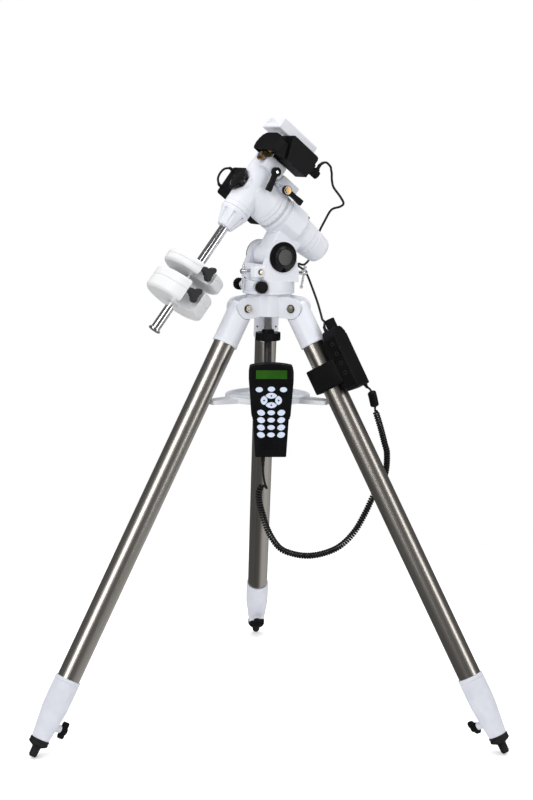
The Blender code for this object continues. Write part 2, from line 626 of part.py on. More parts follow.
def weight_solid(low, high):
    """Round weight with a rim groove and a notch for its locking knob."""
    edge = 0.004
    groove = high - 0.44 * (high - low)
    disc = turned([(BAR_RADIUS + GAP, low), (WEIGHT_RADIUS - edge, low),
                   (WEIGHT_RADIUS, low + edge), (WEIGHT_RADIUS, groove - 0.0008),
                   (WEIGHT_RADIUS - 0.001, groove), (WEIGHT_RADIUS, groove + 0.0008),
                   (WEIGHT_RADIUS, high - edge), (WEIGHT_RADIUS - edge, high),
                   (BAR_RADIUS + GAP, high)], steps=30)
    half = NOTCH / 2
    outline = [(half, 0.090)] + arc((0.0, 0.046), half, 0, -180, 8) + [(-half, 0.090)]
    notch = prism(outline, low - 0.01, high + 0.01, "Z")
    middle = (0.0, 0.0, knob_height(low, high))
    return cut(disc, notch, rod(0.004 + GAP, 0.0, 0.06, "Y", middle, 12))


def knob_height(low, high):
    return low + 0.62 * (high - low)


def weight_knob_solid():
    """Three-lobed knob with a screw that reaches the bar, along Y."""
    knob = knurled_knob(0.0160, 0.0500, 0.0640, "Y", (0.0, 0.0, 0.0), 3)
    stem = rod(0.0040, BAR_RADIUS + GAP, 0.0505, "Y", steps=14)
    return join(knob, stem)


def saddle_solid():
    """Dovetail saddle on its round stem: a slot along X with a raised seat for the bar."""
    low = SADDLE_BOTTOM
    stem = turned([(0.0, DEC_TOP + GAP), (0.0265, DEC_TOP + GAP), (0.0265, 0.084),
                   (0.0230, 0.090), (0.0230, low + 0.002), (0.0, low + 0.002)], steps=40)
    plate = block((-0.0550, -0.0330, low), (0.0400, 0.0330, SADDLE_TOP), 0.003)
    join(stem, plate)
    mouth, floor, seat, depth = 0.0190, 0.0235, 0.0183, SADDLE_TOP - 0.013
    slot = [(-floor, depth - 0.001), (-seat, depth - 0.001), (-seat, depth), (seat, depth),
            (seat, depth - 0.001), (floor, depth - 0.001), (mouth, SADDLE_TOP + 0.001),
            (-mouth, SADDLE_TOP + 0.001)]
    cut(stem, prism(slot, -0.08, 0.08, "X"))
    cut(stem, rod(SHAFT_RADIUS + GAP, 0.07, 0.098))
    return cut(stem, rod(0.004 + GAP, -0.050, -0.015, "Y", (-0.020, 0.0, 0.1390), 16))


def lever_solid(length):
    """Clutch lever: round head with a tapering arm along -Z and a screw along -Y."""
    head = rod(0.0095, 0.0, 0.009, "Y", steps=24)
    arm = prism([(-0.0052, 0.0), (0.0052, 0.0), (0.0060, -length), (-0.0060, -length)],
                0.001, 0.008)
    return join(head, arm, rod(0.0035, -0.008, 0.001, "Y", steps=12))


dec_shaft = pipe(SHAFT_RADIUS, 0.0105, BELL_TOP + 0.001, 0.0975, steps=32)
cut(dec_shaft, rod(0.0100, -0.02, 0.02, "X", steps=24))
piece("dec_shaft", dec_shaft, steel_dark, ra_axis)
dec_wheel = wheel_solid(DEC_WHEEL_RADIUS, SHAFT_RADIUS + GAP, 0.0520, 0.0640, "Z", 30)
piece("dec_worm_wheel", dec_wheel, brass, ra_axis)
piece("dec_worm", dec_worm_solid(), brass, ra_axis, DEC_WORM_SPOT)
piece("shaft_bell", bell_solid(), white, ra_axis)
bar = turned([(0.0, BAR_END), (0.0122, BAR_END), (0.0122, BAR_END + 0.004),
              (BAR_RADIUS, BAR_END + 0.004), (BAR_RADIUS, BELL_TOP - 0.008),
              (0.0, BELL_TOP - 0.008)], steps=32)
piece("counterweight_bar", bar, chrome, ra_axis)
for name, (low, high) in WEIGHTS.items():
    piece(f"weight_{name}", weight_solid(low, high), white, ra_axis)
    spot = (0.0, 0.0, knob_height(low, high))
    piece(f"weight_knob_{name}", weight_knob_solid(), black_plastic, ra_axis, spot)
piece("saddle", saddle_solid(), white, ra_axis)
saddle_screw = join(rod(0.004, -0.0430, -0.0240, "Y", steps=16),
                    knurled_knob(0.0110, -0.0550, -0.0400, "Y", (0.0, 0.0, 0.0)))
piece("saddle_screw", saddle_screw, black_plastic, ra_axis, (-0.020, 0.0, 0.1390))
dec_lever = moved(lever_solid(0.040), Matrix.Rotation(radians(12), 4, "Y"))
piece("dec_clutch_lever", dec_lever, black_plastic, ra_axis, DEC_LEVER_SPOT)


# ---- drive housings ----
def dec_motor_solid():
    """Motor housing beside the saddle: one slanted end, a socket and a plug on the other."""
    outline = [(-0.050, 0.0700), (0.0040, 0.0700), (0.0060, 0.0725), (0.0224, 0.1140),
               (0.0205, 0.1170), (-0.0460, 0.1170), (-0.050, 0.1130)]
    case = prism(outline, 0.0330, 0.0750)
    bridge = block((0.0050, 0.0370, 0.0720), (0.0292, 0.0680, 0.0980))
    socket = block((-0.0640, 0.0400, 0.0850), (-0.0480, 0.0610, 0.1070), 0.002)
    plug = rod(0.0085, -0.0790, -0.0600, "X", (0.0, 0.0500, 0.0965), 20)
    hollow = block((-0.0470, 0.0300, 0.0730), (0.0020, 0.0720, 0.1130))
    return cut(join(case, bridge, socket, plug), hollow)


def dec_gear_cover_solid():
    """Shallow cover over the gear train, with chamfered corners and an open underside."""
    outline = [(-0.0060, 0.0680), (0.0740, 0.0640), (0.0750, 0.0990), (0.0500, 0.1060),
               (0.0030, 0.1060), (-0.0100, 0.0890)]
    cover = prism(outline, 0.0295, 0.0430, "X")
    inside = block((0.0310, -0.0030, 0.0500), (0.0410, 0.0710, 0.0960))
    shaft_hole = rod(0.0045, 0.020, 0.0350, "X", DEC_WORM_SPOT, 16)
    return cut(cover, inside, shaft_hole)


def ra_motor_solid():
    """Housing of the RA drive on the far side of the turning casting."""
    box = block((-0.0840, -0.0860, -0.0280), (-0.0100, -0.0410, 0.0300), 0.004)
    gears = block((-0.0140, -0.0860, -0.0250), (0.0200, -0.0340, 0.0390), 0.004)
    return join(box, gears)


piece("dec_motor_cover", dec_motor_solid(), black_plastic, ra_axis)
piece("dec_gear_cover", dec_gear_cover_solid(), black_plastic, ra_axis)
piece("ra_motor_cover", ra_motor_solid(), black_plastic, ra_axis)
ra_lever = moved(lever_solid(0.042), Matrix.Rotation(pi / 2, 4, "Y"))
piece("ra_clutch_lever", ra_lever, black_plastic, ra_axis, RA_LEVER_SPOT)


# ---- control box on the right leg, and the hand control ----
def control_box_solid():
    """Drive control box with the clamp that holds it on the leg tube (Z up the leg)."""
    box = block((0.0340, -0.0240, -0.195), (0.0630, 0.0270, -0.070), 0.003)
    clamp = block((-0.0280, -0.0285, -0.175), (0.0375, 0.0285, -0.125), 0.002)
    web = block((0.0255, -0.0190, -0.1850), (0.0390, 0.0190, -0.0900))
    bore = rod(TUBE_RADIUS + GAP, -0.20, -0.06, steps=40)
    return cut(join(box, clamp, web), bore)


def handset_solid():
    """Hand control, front towards -Y, wider at the display end, with a key bed."""
    half_top, half_mid, half_low = 0.0430, 0.0375, 0.0300
    outline = [(-half_low, 0.0), (half_low, 0.0), (half_mid - 0.003, 0.077), (half_mid, 0.079),
               (half_top, 0.150), (half_top, 0.1625)]
    outline += [(x, z) for x, z in arc((0.0, 0.0), 0.1825, 77, 103, 6)]
    outline += [(-half_top, 0.1625), (-half_top, 0.150), (-half_mid, 0.079),
                (-half_mid + 0.003, 0.077)]
    case = prism(outline, -0.0150, 0.0150)
    keys = block((-0.0315, -0.02, 0.0380), (0.0315, -0.0120, 0.1430))
    return cut(case, keys)


def keypad_solid():
    """One moulded mat whose keys stand through the hand control's face."""
    mat = block((-0.0310, -0.0142, 0.0385), (0.0310, -0.0128, 0.1425))
    places = [(column * 0.0225, 0.133) for column in (-1, 0, 1)]
    places += [(0.0, 0.1212), (0.0, 0.1028), (-0.0140, 0.112), (0.0140, 0.112)]
    places += [(column * 0.0195, 0.088 - row * 0.0145) for row in range(4)
               for column in (-1, 0, 1)]
    for x, z in places:
        shape = moved(rod(0.0042, 0.0135, 0.0170, steps=8), Matrix.Scale(1.7, 4, (1, 0, 0)))
        turn = Matrix.Rotation(pi / 2, 4, "X")
        join(mat, moved(shape, Matrix.Translation((x, 0.0, z)) @ turn))
    return mat


leg_right = bpy.data.objects["leg_right_axis"]
piece("control_box", control_box_solid(), black_plastic, leg_right)
handset_spot = (0.0020, -0.1080, 0.5540)
piece("handset", handset_solid(), black_plastic, tripod, handset_spot)
piece("keypad", keypad_solid(), key_rubber, tripod, handset_spot)


# ---- cords ----
def polar_point(along, near, up):
    """A point of the polar frame, in the tripod's frame."""
    bpy.context.view_layer.update()
    return tripod.matrix_world.inverted() @ ra_axis.matrix_world @ Vector((along, near, up))


def leg_point(side, out, across, down):
    """A point beside a leg, in the tripod's frame."""
    bpy.context.view_layer.update()
    leg = bpy.data.objects[f"leg_{side}_axis"]
    return tripod.matrix_world.inverted() @ leg.matrix_world @ Vector((out, across, -down))


CORD_RADIUS = 0.0023
LEAD_RADIUS = 0.0021
BEAD_RADIUS = 0.0085
CURL_RADIUS = 0.0062
plug_end = [(-0.0720, 0.0500, 0.1053), (-0.0715, 0.0500, 0.1180), (-0.0790, 0.0500, 0.1290),
            (-0.0925, 0.0500, 0.1290), (-0.0975, 0.0500, 0.1250)]
cord("dec_cable_plug_end", plug_end, CORD_RADIUS, rubber, ra_axis)
upper = [(-0.0978, 0.0500, 0.1247), (-0.1028, 0.0500, 0.1207), (-0.1120, 0.0490, 0.1110),
         (-0.1260, 0.0450, 0.1040), (-0.1520, 0.0400, 0.1010), (-0.1720, 0.0300, 0.0990),
         (-0.1760, 0.0180, 0.0930), (-0.1720, 0.0020, 0.0810), (-0.1850, -0.0200, 0.0610),
         (-0.1990, -0.0400, 0.0420), (-0.2130, -0.0500, 0.0150), (-0.2200, -0.0500, -0.0080),
         (-0.2180, -0.0500, -0.0250), (-0.2120, -0.0500, -0.0305), (-0.2060, -0.0500, -0.0325)]
cord("dec_cable_upper", upper, CORD_RADIUS, rubber, ra_axis)
lower = [polar_point(-0.2056, -0.0500, -0.0326), polar_point(-0.1990, -0.0500, -0.0347),
         (0.0640, 0.0740, 0.9100), (0.0740, 0.0590, 0.9030), (0.0810, 0.0480, 0.8920),
         (0.0900, 0.0300, 0.8681), (0.0985, 0.0100, 0.8433), (0.1040, -0.0120, 0.8220),
         (0.1055, -0.0360, 0.8130), (0.1080, -0.0560, 0.8110),
         leg_point("right", 0.0420, -0.0100, 0.0620), leg_point("right", 0.0420, -0.0100, 0.0697)]
cord("dec_cable_lower", lower, CORD_RADIUS, rubber, tripod)
loop = [(0.0203, -0.0780, 0.0290), (0.0265, -0.0782, 0.0290), (0.0350, -0.0795, 0.0210),
        (0.0375, -0.0800, 0.0090), (0.0350, -0.0795, -0.0030), (0.0265, -0.0782, -0.0110),
        (0.0203, -0.0780, -0.0110)]
cord("ra_cable", loop, CORD_RADIUS, rubber, ra_axis)
lead = [leg_point("right", 0.0550, 0.0210, 0.1953), leg_point("right", 0.0552, 0.0212, 0.2000),
        (0.1993, -0.0850, 0.6780)]
bead = [(0.2074, -0.0830, 0.6475)]
start_curl = [(0.2085, -0.0820, 0.6400)]
curl = [(0.2204, -0.0760, 0.6034), (0.2304, -0.0680, 0.5686), (0.2353, -0.0630, 0.5507),
        (0.2357, -0.0520, 0.5150), (0.2288, -0.0450, 0.4880), (0.2111, -0.0420, 0.4564),
        (0.1973, -0.0450, 0.4266), (0.1740, -0.0550, 0.3883), (0.1443, -0.0700, 0.3628),
        (0.1107, -0.0850, 0.3520), (0.0772, -0.0980, 0.3504), (0.0443, -0.1080, 0.3582),
        (0.0198, -0.1140, 0.3724), (-0.0008, -0.1180, 0.4043), (-0.0132, -0.1180, 0.4411),
        (-0.0202, -0.1160, 0.4693), (-0.0193, -0.1140, 0.4872), (-0.0111, -0.1100, 0.4953)]
tail = [(-0.0045, -0.1075, 0.4890), (-0.0091, -0.1070, 0.5020), (-0.0122, -0.1080, 0.5244),
        (-0.0125, -0.1080, 0.5537)]
spans = [LEAD_RADIUS] * 2 + [BEAD_RADIUS] + [LEAD_RADIUS] + [CURL_RADIUS] * len(curl)
spans += [LEAD_RADIUS] * len(tail)
cord("handset_cord", lead + bead + start_curl + curl + tail, LEAD_RADIUS, rubber, tripod, spans)
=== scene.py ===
"""Looks for the equatorial mount: fine surfaces, materials, cords, light and camera round the CAD frame."""
import json
from math import atan2, ceil, cos, pi, radians, sin, sqrt

import bmesh
import bpy
from mathutils import Matrix, Vector


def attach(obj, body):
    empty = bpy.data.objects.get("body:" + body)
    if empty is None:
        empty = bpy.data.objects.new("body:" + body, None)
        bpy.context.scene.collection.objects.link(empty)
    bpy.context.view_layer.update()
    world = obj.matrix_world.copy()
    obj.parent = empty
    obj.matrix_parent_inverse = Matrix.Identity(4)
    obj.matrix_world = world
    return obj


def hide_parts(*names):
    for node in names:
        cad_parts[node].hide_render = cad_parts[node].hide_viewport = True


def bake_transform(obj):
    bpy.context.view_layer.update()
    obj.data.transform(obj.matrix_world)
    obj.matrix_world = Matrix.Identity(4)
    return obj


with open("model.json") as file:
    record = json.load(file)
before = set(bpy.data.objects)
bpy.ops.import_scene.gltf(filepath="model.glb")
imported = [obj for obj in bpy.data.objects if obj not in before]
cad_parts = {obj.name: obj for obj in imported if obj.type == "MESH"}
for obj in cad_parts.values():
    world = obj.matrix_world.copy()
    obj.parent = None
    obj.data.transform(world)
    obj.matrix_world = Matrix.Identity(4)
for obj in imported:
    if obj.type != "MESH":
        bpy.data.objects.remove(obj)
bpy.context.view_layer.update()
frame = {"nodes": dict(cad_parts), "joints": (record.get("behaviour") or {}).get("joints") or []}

# ---- driving dimensions, as in the CAD source ----
GAP = 0.0003
HINGE_RADIUS = 0.062         # leg bolts from the tripod axis
LEG_ANGLES = {"left": 210.0, "right": 330.0, "rear": 90.0}
LOCK_DISTANCE = 0.886        # lock screw from the leg bolt, down the leg
TUBE_RADIUS = 0.02225
TUBE_WALL = 0.0015
EXTENSION_RADIUS = 0.016
HEAD_LENGTH = 0.080
CLAMP_START = 0.791
CLAMP_END = 0.915
FOOT_TIP_RADIUS = 0.007
WING_TURNS = {"left": 0.0, "right": 40.0, "rear": 75.0}
HUB_BOTTOM = 0.819
HUB_TOP = 0.862
HUB_FACE = 0.043
TONGUE = 0.028
EAR = 0.0095
EAR_RADIUS = 0.0205
ROD_RADIUS = 0.0078
ROD_HOLE = ROD_RADIUS + GAP
TRAY_BOTTOM = 0.648
PIVOT_TO_RA = Vector((0.1185, 0.0, 0.0728))
BASE_RADIUS = 0.0515
BASE_TOP = 0.889
CHEEK_INNER = 0.030
CHEEK_OUTER = 0.046
CHEEK_RADIUS = 0.030
PEG_NORTH = 0.041
SCREW_HEIGHT = 0.8782
BOLT_TIP = 0.0105
RA_SEAM = -0.056
CAP_SEAM = -0.159
DEC_TUBE_RADIUS = 0.029
DEC_TOP = 0.078
BELL_TOP = -0.052
BELL_BOTTOM = -0.092
BAR_RADIUS = 0.0092
BAR_END = -0.338
WEIGHT_RADIUS = 0.0625
WEIGHTS = {"upper": (-0.212, -0.187), "lower": (-0.274, -0.228)}
NOTCH = 0.034
SADDLE_BOTTOM = 0.122
SADDLE_TOP = 0.146
CORD_RADIUS = 0.0023
LEAD_RADIUS = 0.0021
CURL_RADIUS = 0.0066         # drawn 0.4 mm wider than its CAD solid
CURL_PITCH = 0.0052
BEAD_RADIUS = 0.0085

# ---- frames, from the record's joints ----
JOINTS = {joint["name"]: joint for joint in frame["joints"]}


def axes(origin, along, up):
    """A matrix with its X along one direction and its Z as near as can be to another."""
    x = Vector(along).normalized()
    z = Vector(up)
    z = (z - x * x.dot(z)).normalized()
    y = z.cross(x)
    place = Matrix((x, y, z)).transposed().to_4x4()
    place.translation = Vector(origin)
    return place


def leg_axes(side):
    screw = JOINTS[f"leg_lock_screw_{side}"]
    up = -Vector(JOINTS[f"leg_slide_{side}"]["axis"])
    return axes(Vector(screw["pos_m"]) + up * LOCK_DISTANCE, screw["axis"], up)


POLAR = axes(JOINTS["ra"]["pos_m"], JOINTS["ra"]["axis"], JOINTS["dec"]["axis"])
TRIPOD_SPOT = Vector(JOINTS["azimuth"]["pos_m"]) * Vector((1.0, 1.0, 0.0))
TRIPOD = Matrix.Translation(TRIPOD_SPOT)
NORTH = axes(TRIPOD_SPOT, Vector(JOINTS["ra"]["axis"]) * Vector((1.0, 1.0, 0.0)), (0.0, 0.0, 1.0))
LEGS = {side: leg_axes(side) for side in LEG_ANGLES}
PIVOT = NORTH.inverted() @ Vector(JOINTS["altitude"]["pos_m"])
HINGE_HEIGHT = LEGS["left"].translation.z
LEG_TILT = atan2(-JOINTS["leg_slide_rear"]["axis"][1], JOINTS["leg_slide_rear"]["axis"][2] * -1)
LEG_LENGTH = (HINGE_HEIGHT - FOOT_TIP_RADIUS * sin(abs(LEG_TILT))) / cos(LEG_TILT)


# ---- camera ----
CAMERA_SPOT = (-0.1398, -3.3022, 1.1647)
CAMERA_TURN = radians(-2.49)
CAMERA_DIP = radians(9.2714)
CAMERA_ROLL = radians(0.4819)
LENS = 72.12
SENSOR = 36.0


def make_camera():
    forward = Vector((-sin(CAMERA_TURN) * cos(CAMERA_DIP), cos(CAMERA_TURN) * cos(CAMERA_DIP),
                      -sin(CAMERA_DIP)))
    level = Vector((cos(CAMERA_TURN), sin(CAMERA_TURN), 0.0))
    upright = level.cross(forward)
    right = level * cos(CAMERA_ROLL) + upright * sin(CAMERA_ROLL)
    up = upright * cos(CAMERA_ROLL) - level * sin(CAMERA_ROLL)
    data = bpy.data.cameras.new("camera")
    data.lens = LENS
    data.sensor_width = SENSOR
    camera = bpy.data.objects.new("camera", data)
    turn = Matrix((right, up, -forward)).transposed().to_4x4()
    camera.matrix_world = Matrix.Translation(CAMERA_SPOT) @ turn
    bpy.context.scene.collection.objects.link(camera)
    bpy.context.scene.camera = camera


make_camera()


# ---- materials ----
def node(tree, kind, **values):
    """A shader node with its settings and its inputs' values."""
    made = tree.nodes.new(kind)
    for key, value in values.items():
        if hasattr(made, key):
            setattr(made, key, value)
        else:
            made.inputs[key.replace("_", " ")].default_value = value
    return made


def coordinates(tree, source, scale):
    """Texture coordinates in metres, or the tube's own round-and-along ones, scaled."""
    where = node(tree, "ShaderNodeTexCoord")
    mapping = node(tree, "ShaderNodeMapping")
    mapping.inputs["Scale"].default_value = scale
    tree.links.new(where.outputs[source], mapping.inputs["Vector"])
    return mapping.outputs["Vector"]


def noise(tree, vector, scale, detail=3.0):
    made = node(tree, "ShaderNodeTexNoise")
    made.inputs["Scale"].default_value = scale
    made.inputs["Detail"].default_value = detail
    tree.links.new(vector, made.inputs["Vector"])
    return made.outputs["Fac"]


def ranged(tree, value, low, high, start=0.3, end=0.7):
    made = node(tree, "ShaderNodeMapRange")
    made.inputs["From Min"].default_value = start
    made.inputs["From Max"].default_value = end
    made.inputs["To Min"].default_value = low
    made.inputs["To Max"].default_value = high
    tree.links.new(value, made.inputs["Value"])
    return made.outputs["Result"]


def mixed(tree, factor, first, second):
    made = tree.nodes.new("ShaderNodeMix")
    made.data_type = "RGBA"
    tree.links.new(factor, made.inputs[0])
    for socket, value in ((made.inputs[6], first), (made.inputs[7], second)):
        if isinstance(value, tuple):
            socket.default_value = (*value, 1.0)
        else:
            tree.links.new(value, socket)
    return made.outputs[2]


def bumped(tree, height, distance):
    made = node(tree, "ShaderNodeBump")
    made.inputs["Distance"].default_value = distance
    tree.links.new(height, made.inputs["Height"])
    return made.outputs["Normal"]


def surface(name, colour, roughness, metallic=0.0, specular=0.5, coat=0.0, tint=None,
            patch=30.0, grain=900.0, depth=0.00002, spread=0.06, rub=0.12):
    """A finish with slow colour patches, handled spots that are glossier, and fine grain.

    patch and grain are cells per metre; depth is the grain's height in metres.
    """
    made = bpy.data.materials.new(name)
    made.use_nodes = True
    tree = made.node_tree
    shader = tree.nodes["Principled BSDF"]
    shader.inputs["Metallic"].default_value = metallic
    shader.inputs["Specular IOR Level"].default_value = specular
    shader.inputs["Coat Weight"].default_value = coat
    shader.inputs["Coat Roughness"].default_value = 0.12
    place = coordinates(tree, "Object", (1.0, 1.0, 1.0))
    slow = noise(tree, place, patch, 4.0)
    fine = noise(tree, place, grain, 2.0)
    other = tint or tuple(c * (1.0 - spread) for c in colour)
    tree.links.new(mixed(tree, ranged(tree, slow, 0.0, 1.0), colour, other),
                   shader.inputs["Base Color"])
    tree.links.new(ranged(tree, slow, roughness * (1.0 - rub), roughness * (1.0 + rub)),
                   shader.inputs["Roughness"])
    tree.links.new(bumped(tree, fine, depth), shader.inputs["Normal"])
    return made


def brushed(name, light, dark, roughness, around=70.0, along=0.5, depth=0.0000002):
    """Drawn or turned steel: streaks that run along the tube, from its own coordinates."""
    made = bpy.data.materials.new(name)
    made.use_nodes = True
    tree = made.node_tree
    shader = tree.nodes["Principled BSDF"]
    shader.inputs["Metallic"].default_value = 1.0
    streaks = noise(tree, coordinates(tree, "UV", (around, along, 1.0)), 1.0, 5.0)
    stains = noise(tree, coordinates(tree, "Object", (1.0, 1.0, 1.0)), 9.0, 5.0)
    colour = mixed(tree, ranged(tree, streaks, 0.0, 1.0), light, dark)
    tree.links.new(mixed(tree, ranged(tree, stains, 0.0, 0.15, 0.45, 0.75), colour, dark),
                   shader.inputs["Base Color"])
    tree.links.new(ranged(tree, streaks, roughness * 0.75, roughness * 1.3),
                   shader.inputs["Roughness"])
    tree.links.new(bumped(tree, streaks, depth), shader.inputs["Normal"])
    return made


def lcd_material():
    """A lit green character display without any text: faint cell grid over a soft glow."""
    made = bpy.data.materials.new("display_green")
    made.use_nodes = True
    tree = made.node_tree
    shader = tree.nodes["Principled BSDF"]
    shader.inputs["Roughness"].default_value = 0.16
    place = coordinates(tree, "Object", (1.0, 1.0, 1.0))
    cells = node(tree, "ShaderNodeTexVoronoi")
    cells.inputs["Scale"].default_value = 700.0
    cells.inputs["Randomness"].default_value = 0.0
    tree.links.new(place, cells.inputs["Vector"])
    glow = noise(tree, place, 35.0, 1.0)
    green = mixed(tree, ranged(tree, glow, 0.0, 1.0), (0.014, 0.068, 0.004), (0.022, 0.095, 0.006))
    shaded = mixed(tree, ranged(tree, cells.outputs["Distance"], 0.0, 0.25, 0.1, 0.6), green,
                   (0.008, 0.036, 0.002))
    tree.links.new(shaded, shader.inputs["Base Color"])
    tree.links.new(shaded, shader.inputs["Emission Color"])
    shader.inputs["Emission Strength"].default_value = 0.15
    return made


WHITE = surface("white_paint", (0.77, 0.785, 0.835), 0.40, specular=0.4, coat=0.15,
                tint=(0.73, 0.75, 0.81), patch=14.0, grain=700.0, depth=0.00003)
# Leg clamps: the white paint darkened to a bluish grey is painted shade; its coarse grain is the casting's
# own texture.
CAST_PAINTED_SHADE = surface("cast_white_painted_shade", (0.57, 0.585, 0.635), 0.50, specular=0.3, tint=(0.51, 0.525, 0.58),
               patch=40.0, grain=420.0, depth=0.00018)
WEIGHT = surface("weight_paint", (0.76, 0.772, 0.775), 0.42, specular=0.35, coat=0.1,
                 tint=(0.70, 0.715, 0.72), patch=16.0, grain=800.0, depth=0.00004)
TUBE = brushed("stainless_tube", (0.54, 0.51, 0.475), (0.36, 0.335, 0.305), 0.30)
CHROME = surface("chrome", (0.88, 0.88, 0.90), 0.08, metallic=1.0, spread=0.06, patch=60.0,
                 grain=900.0, depth=0.0000003, rub=0.3)
STEEL = surface("machined_steel", (0.50, 0.485, 0.46), 0.30, metallic=1.0, spread=0.3,
                patch=90.0, grain=1800.0, depth=0.00001)
NICKEL = surface("nickel_brass", (0.72, 0.63, 0.48), 0.28, metallic=1.0, spread=0.45,
                 patch=160.0, grain=1800.0, depth=0.00001)
BRASS = surface("brass", (0.66, 0.42, 0.17), 0.30, metallic=1.0, tint=(0.40, 0.24, 0.09),
                patch=160.0, grain=1500.0, depth=0.00001)
BLACK = surface("black_plastic", (0.0035, 0.0035, 0.0042), 0.44, specular=0.12,
                tint=(0.006, 0.006, 0.007), patch=25.0, grain=1500.0, depth=0.00005)
CHARCOAL = surface("charcoal_plastic", (0.022, 0.022, 0.023), 0.50, specular=0.25,
                   tint=(0.030, 0.030, 0.031), patch=60.0, grain=1300.0, depth=0.00005)
GLOSS = surface("gloss_black", (0.0025, 0.0025, 0.003), 0.10, specular=0.30, coat=0.1,
                tint=(0.004, 0.004, 0.0045), patch=35.0, grain=500.0, depth=0.000002)
RUBBER = surface("black_rubber", (0.008, 0.008, 0.0085), 0.62, specular=0.18,
                 tint=(0.015, 0.0145, 0.0145), patch=60.0, grain=1100.0, depth=0.00008)
CABLE = surface("cable_sheath", (0.006, 0.006, 0.0065), 0.42, specular=0.28,
                tint=(0.011, 0.011, 0.0115), patch=50.0, grain=900.0, depth=0.00002)
TRAY = surface("tray_plastic", (0.78, 0.80, 0.83), 0.38, tint=(0.71, 0.73, 0.77), patch=18.0,
               grain=800.0, depth=0.00003)
KEYS = surface("key_rubber", (0.66, 0.73, 0.86), 0.50, tint=(0.58, 0.66, 0.81), patch=150.0,
               grain=2500.0, depth=0.00002)
DARK_STEEL = surface("blackened_steel", (0.11, 0.105, 0.10), 0.34, metallic=1.0, spread=0.3,
                     patch=70.0, grain=1500.0, depth=0.00001)
INK = surface("scale_marks", (0.05, 0.05, 0.06), 0.5, spread=0.3)
LCD = lcd_material()


# ---- modelling helpers ----
def from_bmesh(bm):
    bmesh.ops.recalc_face_normals(bm, faces=bm.faces)
    mesh = bpy.data.meshes.new("solid")
    bm.to_mesh(mesh)
    bm.free()
    solid = bpy.data.objects.new("solid", mesh)
    bpy.context.scene.collection.objects.link(solid)
    return solid


ALONG = {
    "Z": Matrix.Identity(4),
    "X": Matrix.Rotation(pi / 2, 4, "Y"),
    "Y": Matrix.Rotation(-pi / 2, 4, "X"),
}


def eased(points, radius=0.0008, steps=3, closed=False):
    """A profile or an outline with its corners rounded; a corner becomes a short curve."""
    spots = [Vector(p) for p in points]
    if closed:
        spots = [spots[-1]] + spots + [spots[0]]
    out = [] if closed else [tuple(spots[0])]
    for before, corner, after in zip(spots, spots[1:], spots[2:]):
        back, ahead = before - corner, after - corner
        start = corner + back.normalized() * min(radius, back.length / 2.2)
        end = corner + ahead.normalized() * min(radius, ahead.length / 2.2)
        for k in range(steps + 1):
            t = k / steps
            out.append(tuple(start.lerp(corner, t).lerp(corner.lerp(end, t), t)))
    return out if closed else out + [tuple(spots[-1])]


def turned(profile, axis="Z", centre=(0.0, 0.0, 0.0), steps=96):
    """Turn (radius, height) points about an axis, with round-and-along texture coordinates."""
    bm = bmesh.new()
    layer = bm.loops.layers.uv.new("UVMap")
    rings = []
    for radius, height in profile:
        if radius == 0.0:
            rings.append([bm.verts.new((0.0, 0.0, height))])
            continue
        turn = [2 * pi * k / steps for k in range(steps)]
        rings.append([bm.verts.new((radius * cos(t), radius * sin(t), height)) for t in turn])
    pairs = list(zip(rings, rings[1:]))
    if profile[0][0] > 0.0 and profile[-1][0] > 0.0:
        pairs.append((rings[-1], rings[0]))
    for low, high in pairs:
        for k in range(steps):
            n = (k + 1) % steps
            if len(low) == 1:
                corners, turns = (low[0], high[k], high[n]), (k + 0.5, k, k + 1)
            elif len(high) == 1:
                corners, turns = (low[k], low[n], high[0]), (k, k + 1, k + 0.5)
            else:
                corners, turns = (low[k], low[n], high[n], high[k]), (k, k + 1, k + 1, k)
            face = bm.faces.new(corners)
            for loop, turn in zip(face.loops, turns):
                loop[layer].uv = (turn / steps, loop.vert.co.z)
    bmesh.ops.transform(bm, matrix=Matrix.Translation(centre) @ ALONG[axis], verts=bm.verts)
    return from_bmesh(bm)


def rod(radius, low, high, axis="Z", centre=(0.0, 0.0, 0.0), steps=64, edge=0.0):
    profile = [(0.0, low), (radius, low), (radius, high), (0.0, high)]
    return turned(eased(profile, edge) if edge else profile, axis, centre, steps)


def block(low, high, bevel=0.0, rings=3):
    """A box from its low corner to its high corner, with rounded edges where bevel is set."""
    bm = bmesh.new()
    bmesh.ops.create_cube(bm, size=1.0)
    low, high = Vector(low), Vector(high)
    size = high - low
    for vert in bm.verts:
        vert.co = (low + high) / 2 + Vector(a * b for a, b in zip(vert.co, size))
    if bevel:
        bmesh.ops.bevel(bm, geom=bm.edges[:], offset=bevel, segments=rings, profile=0.5,
                        affect="EDGES")
    return from_bmesh(bm)


def prism(outline, low, high, axis="Y", edge=0.0, rings=2):
    """Extrude an outline of (x, z), (y, z) or (x, y) points, with eased cap edges."""
    place = {
        "Y": lambda u, v, w: (u, w, v),
        "X": lambda u, v, w: (w, u, v),
        "Z": lambda u, v, w: (u, v, w),
    }[axis]
    bm = bmesh.new()
    bottom = [bm.verts.new(place(u, v, low)) for u, v in outline]
    top = [bm.verts.new(place(u, v, high)) for u, v in outline]
    caps = [bm.faces.new(bottom), bm.faces.new(top)]
    count = len(outline)
    for k in range(count):
        n = (k + 1) % count
        bm.faces.new((bottom[k], bottom[n], top[n], top[k]))
    if edge:
        rims = [e for face in caps for e in face.edges]
        bmesh.ops.bevel(bm, geom=rims, offset=edge, segments=rings, profile=0.5, affect="EDGES",
                        clamp_overlap=True)
    return from_bmesh(bm)


def arc(centre, radius, start, end, steps):
    """Points on an arc from start to end degrees."""
    angles = [radians(start + (end - start) * k / steps) for k in range(steps + 1)]
    return [(centre[0] + radius * cos(a), centre[1] + radius * sin(a)) for a in angles]


def moved(solid, matrix):
    solid.data.transform(matrix)
    return solid


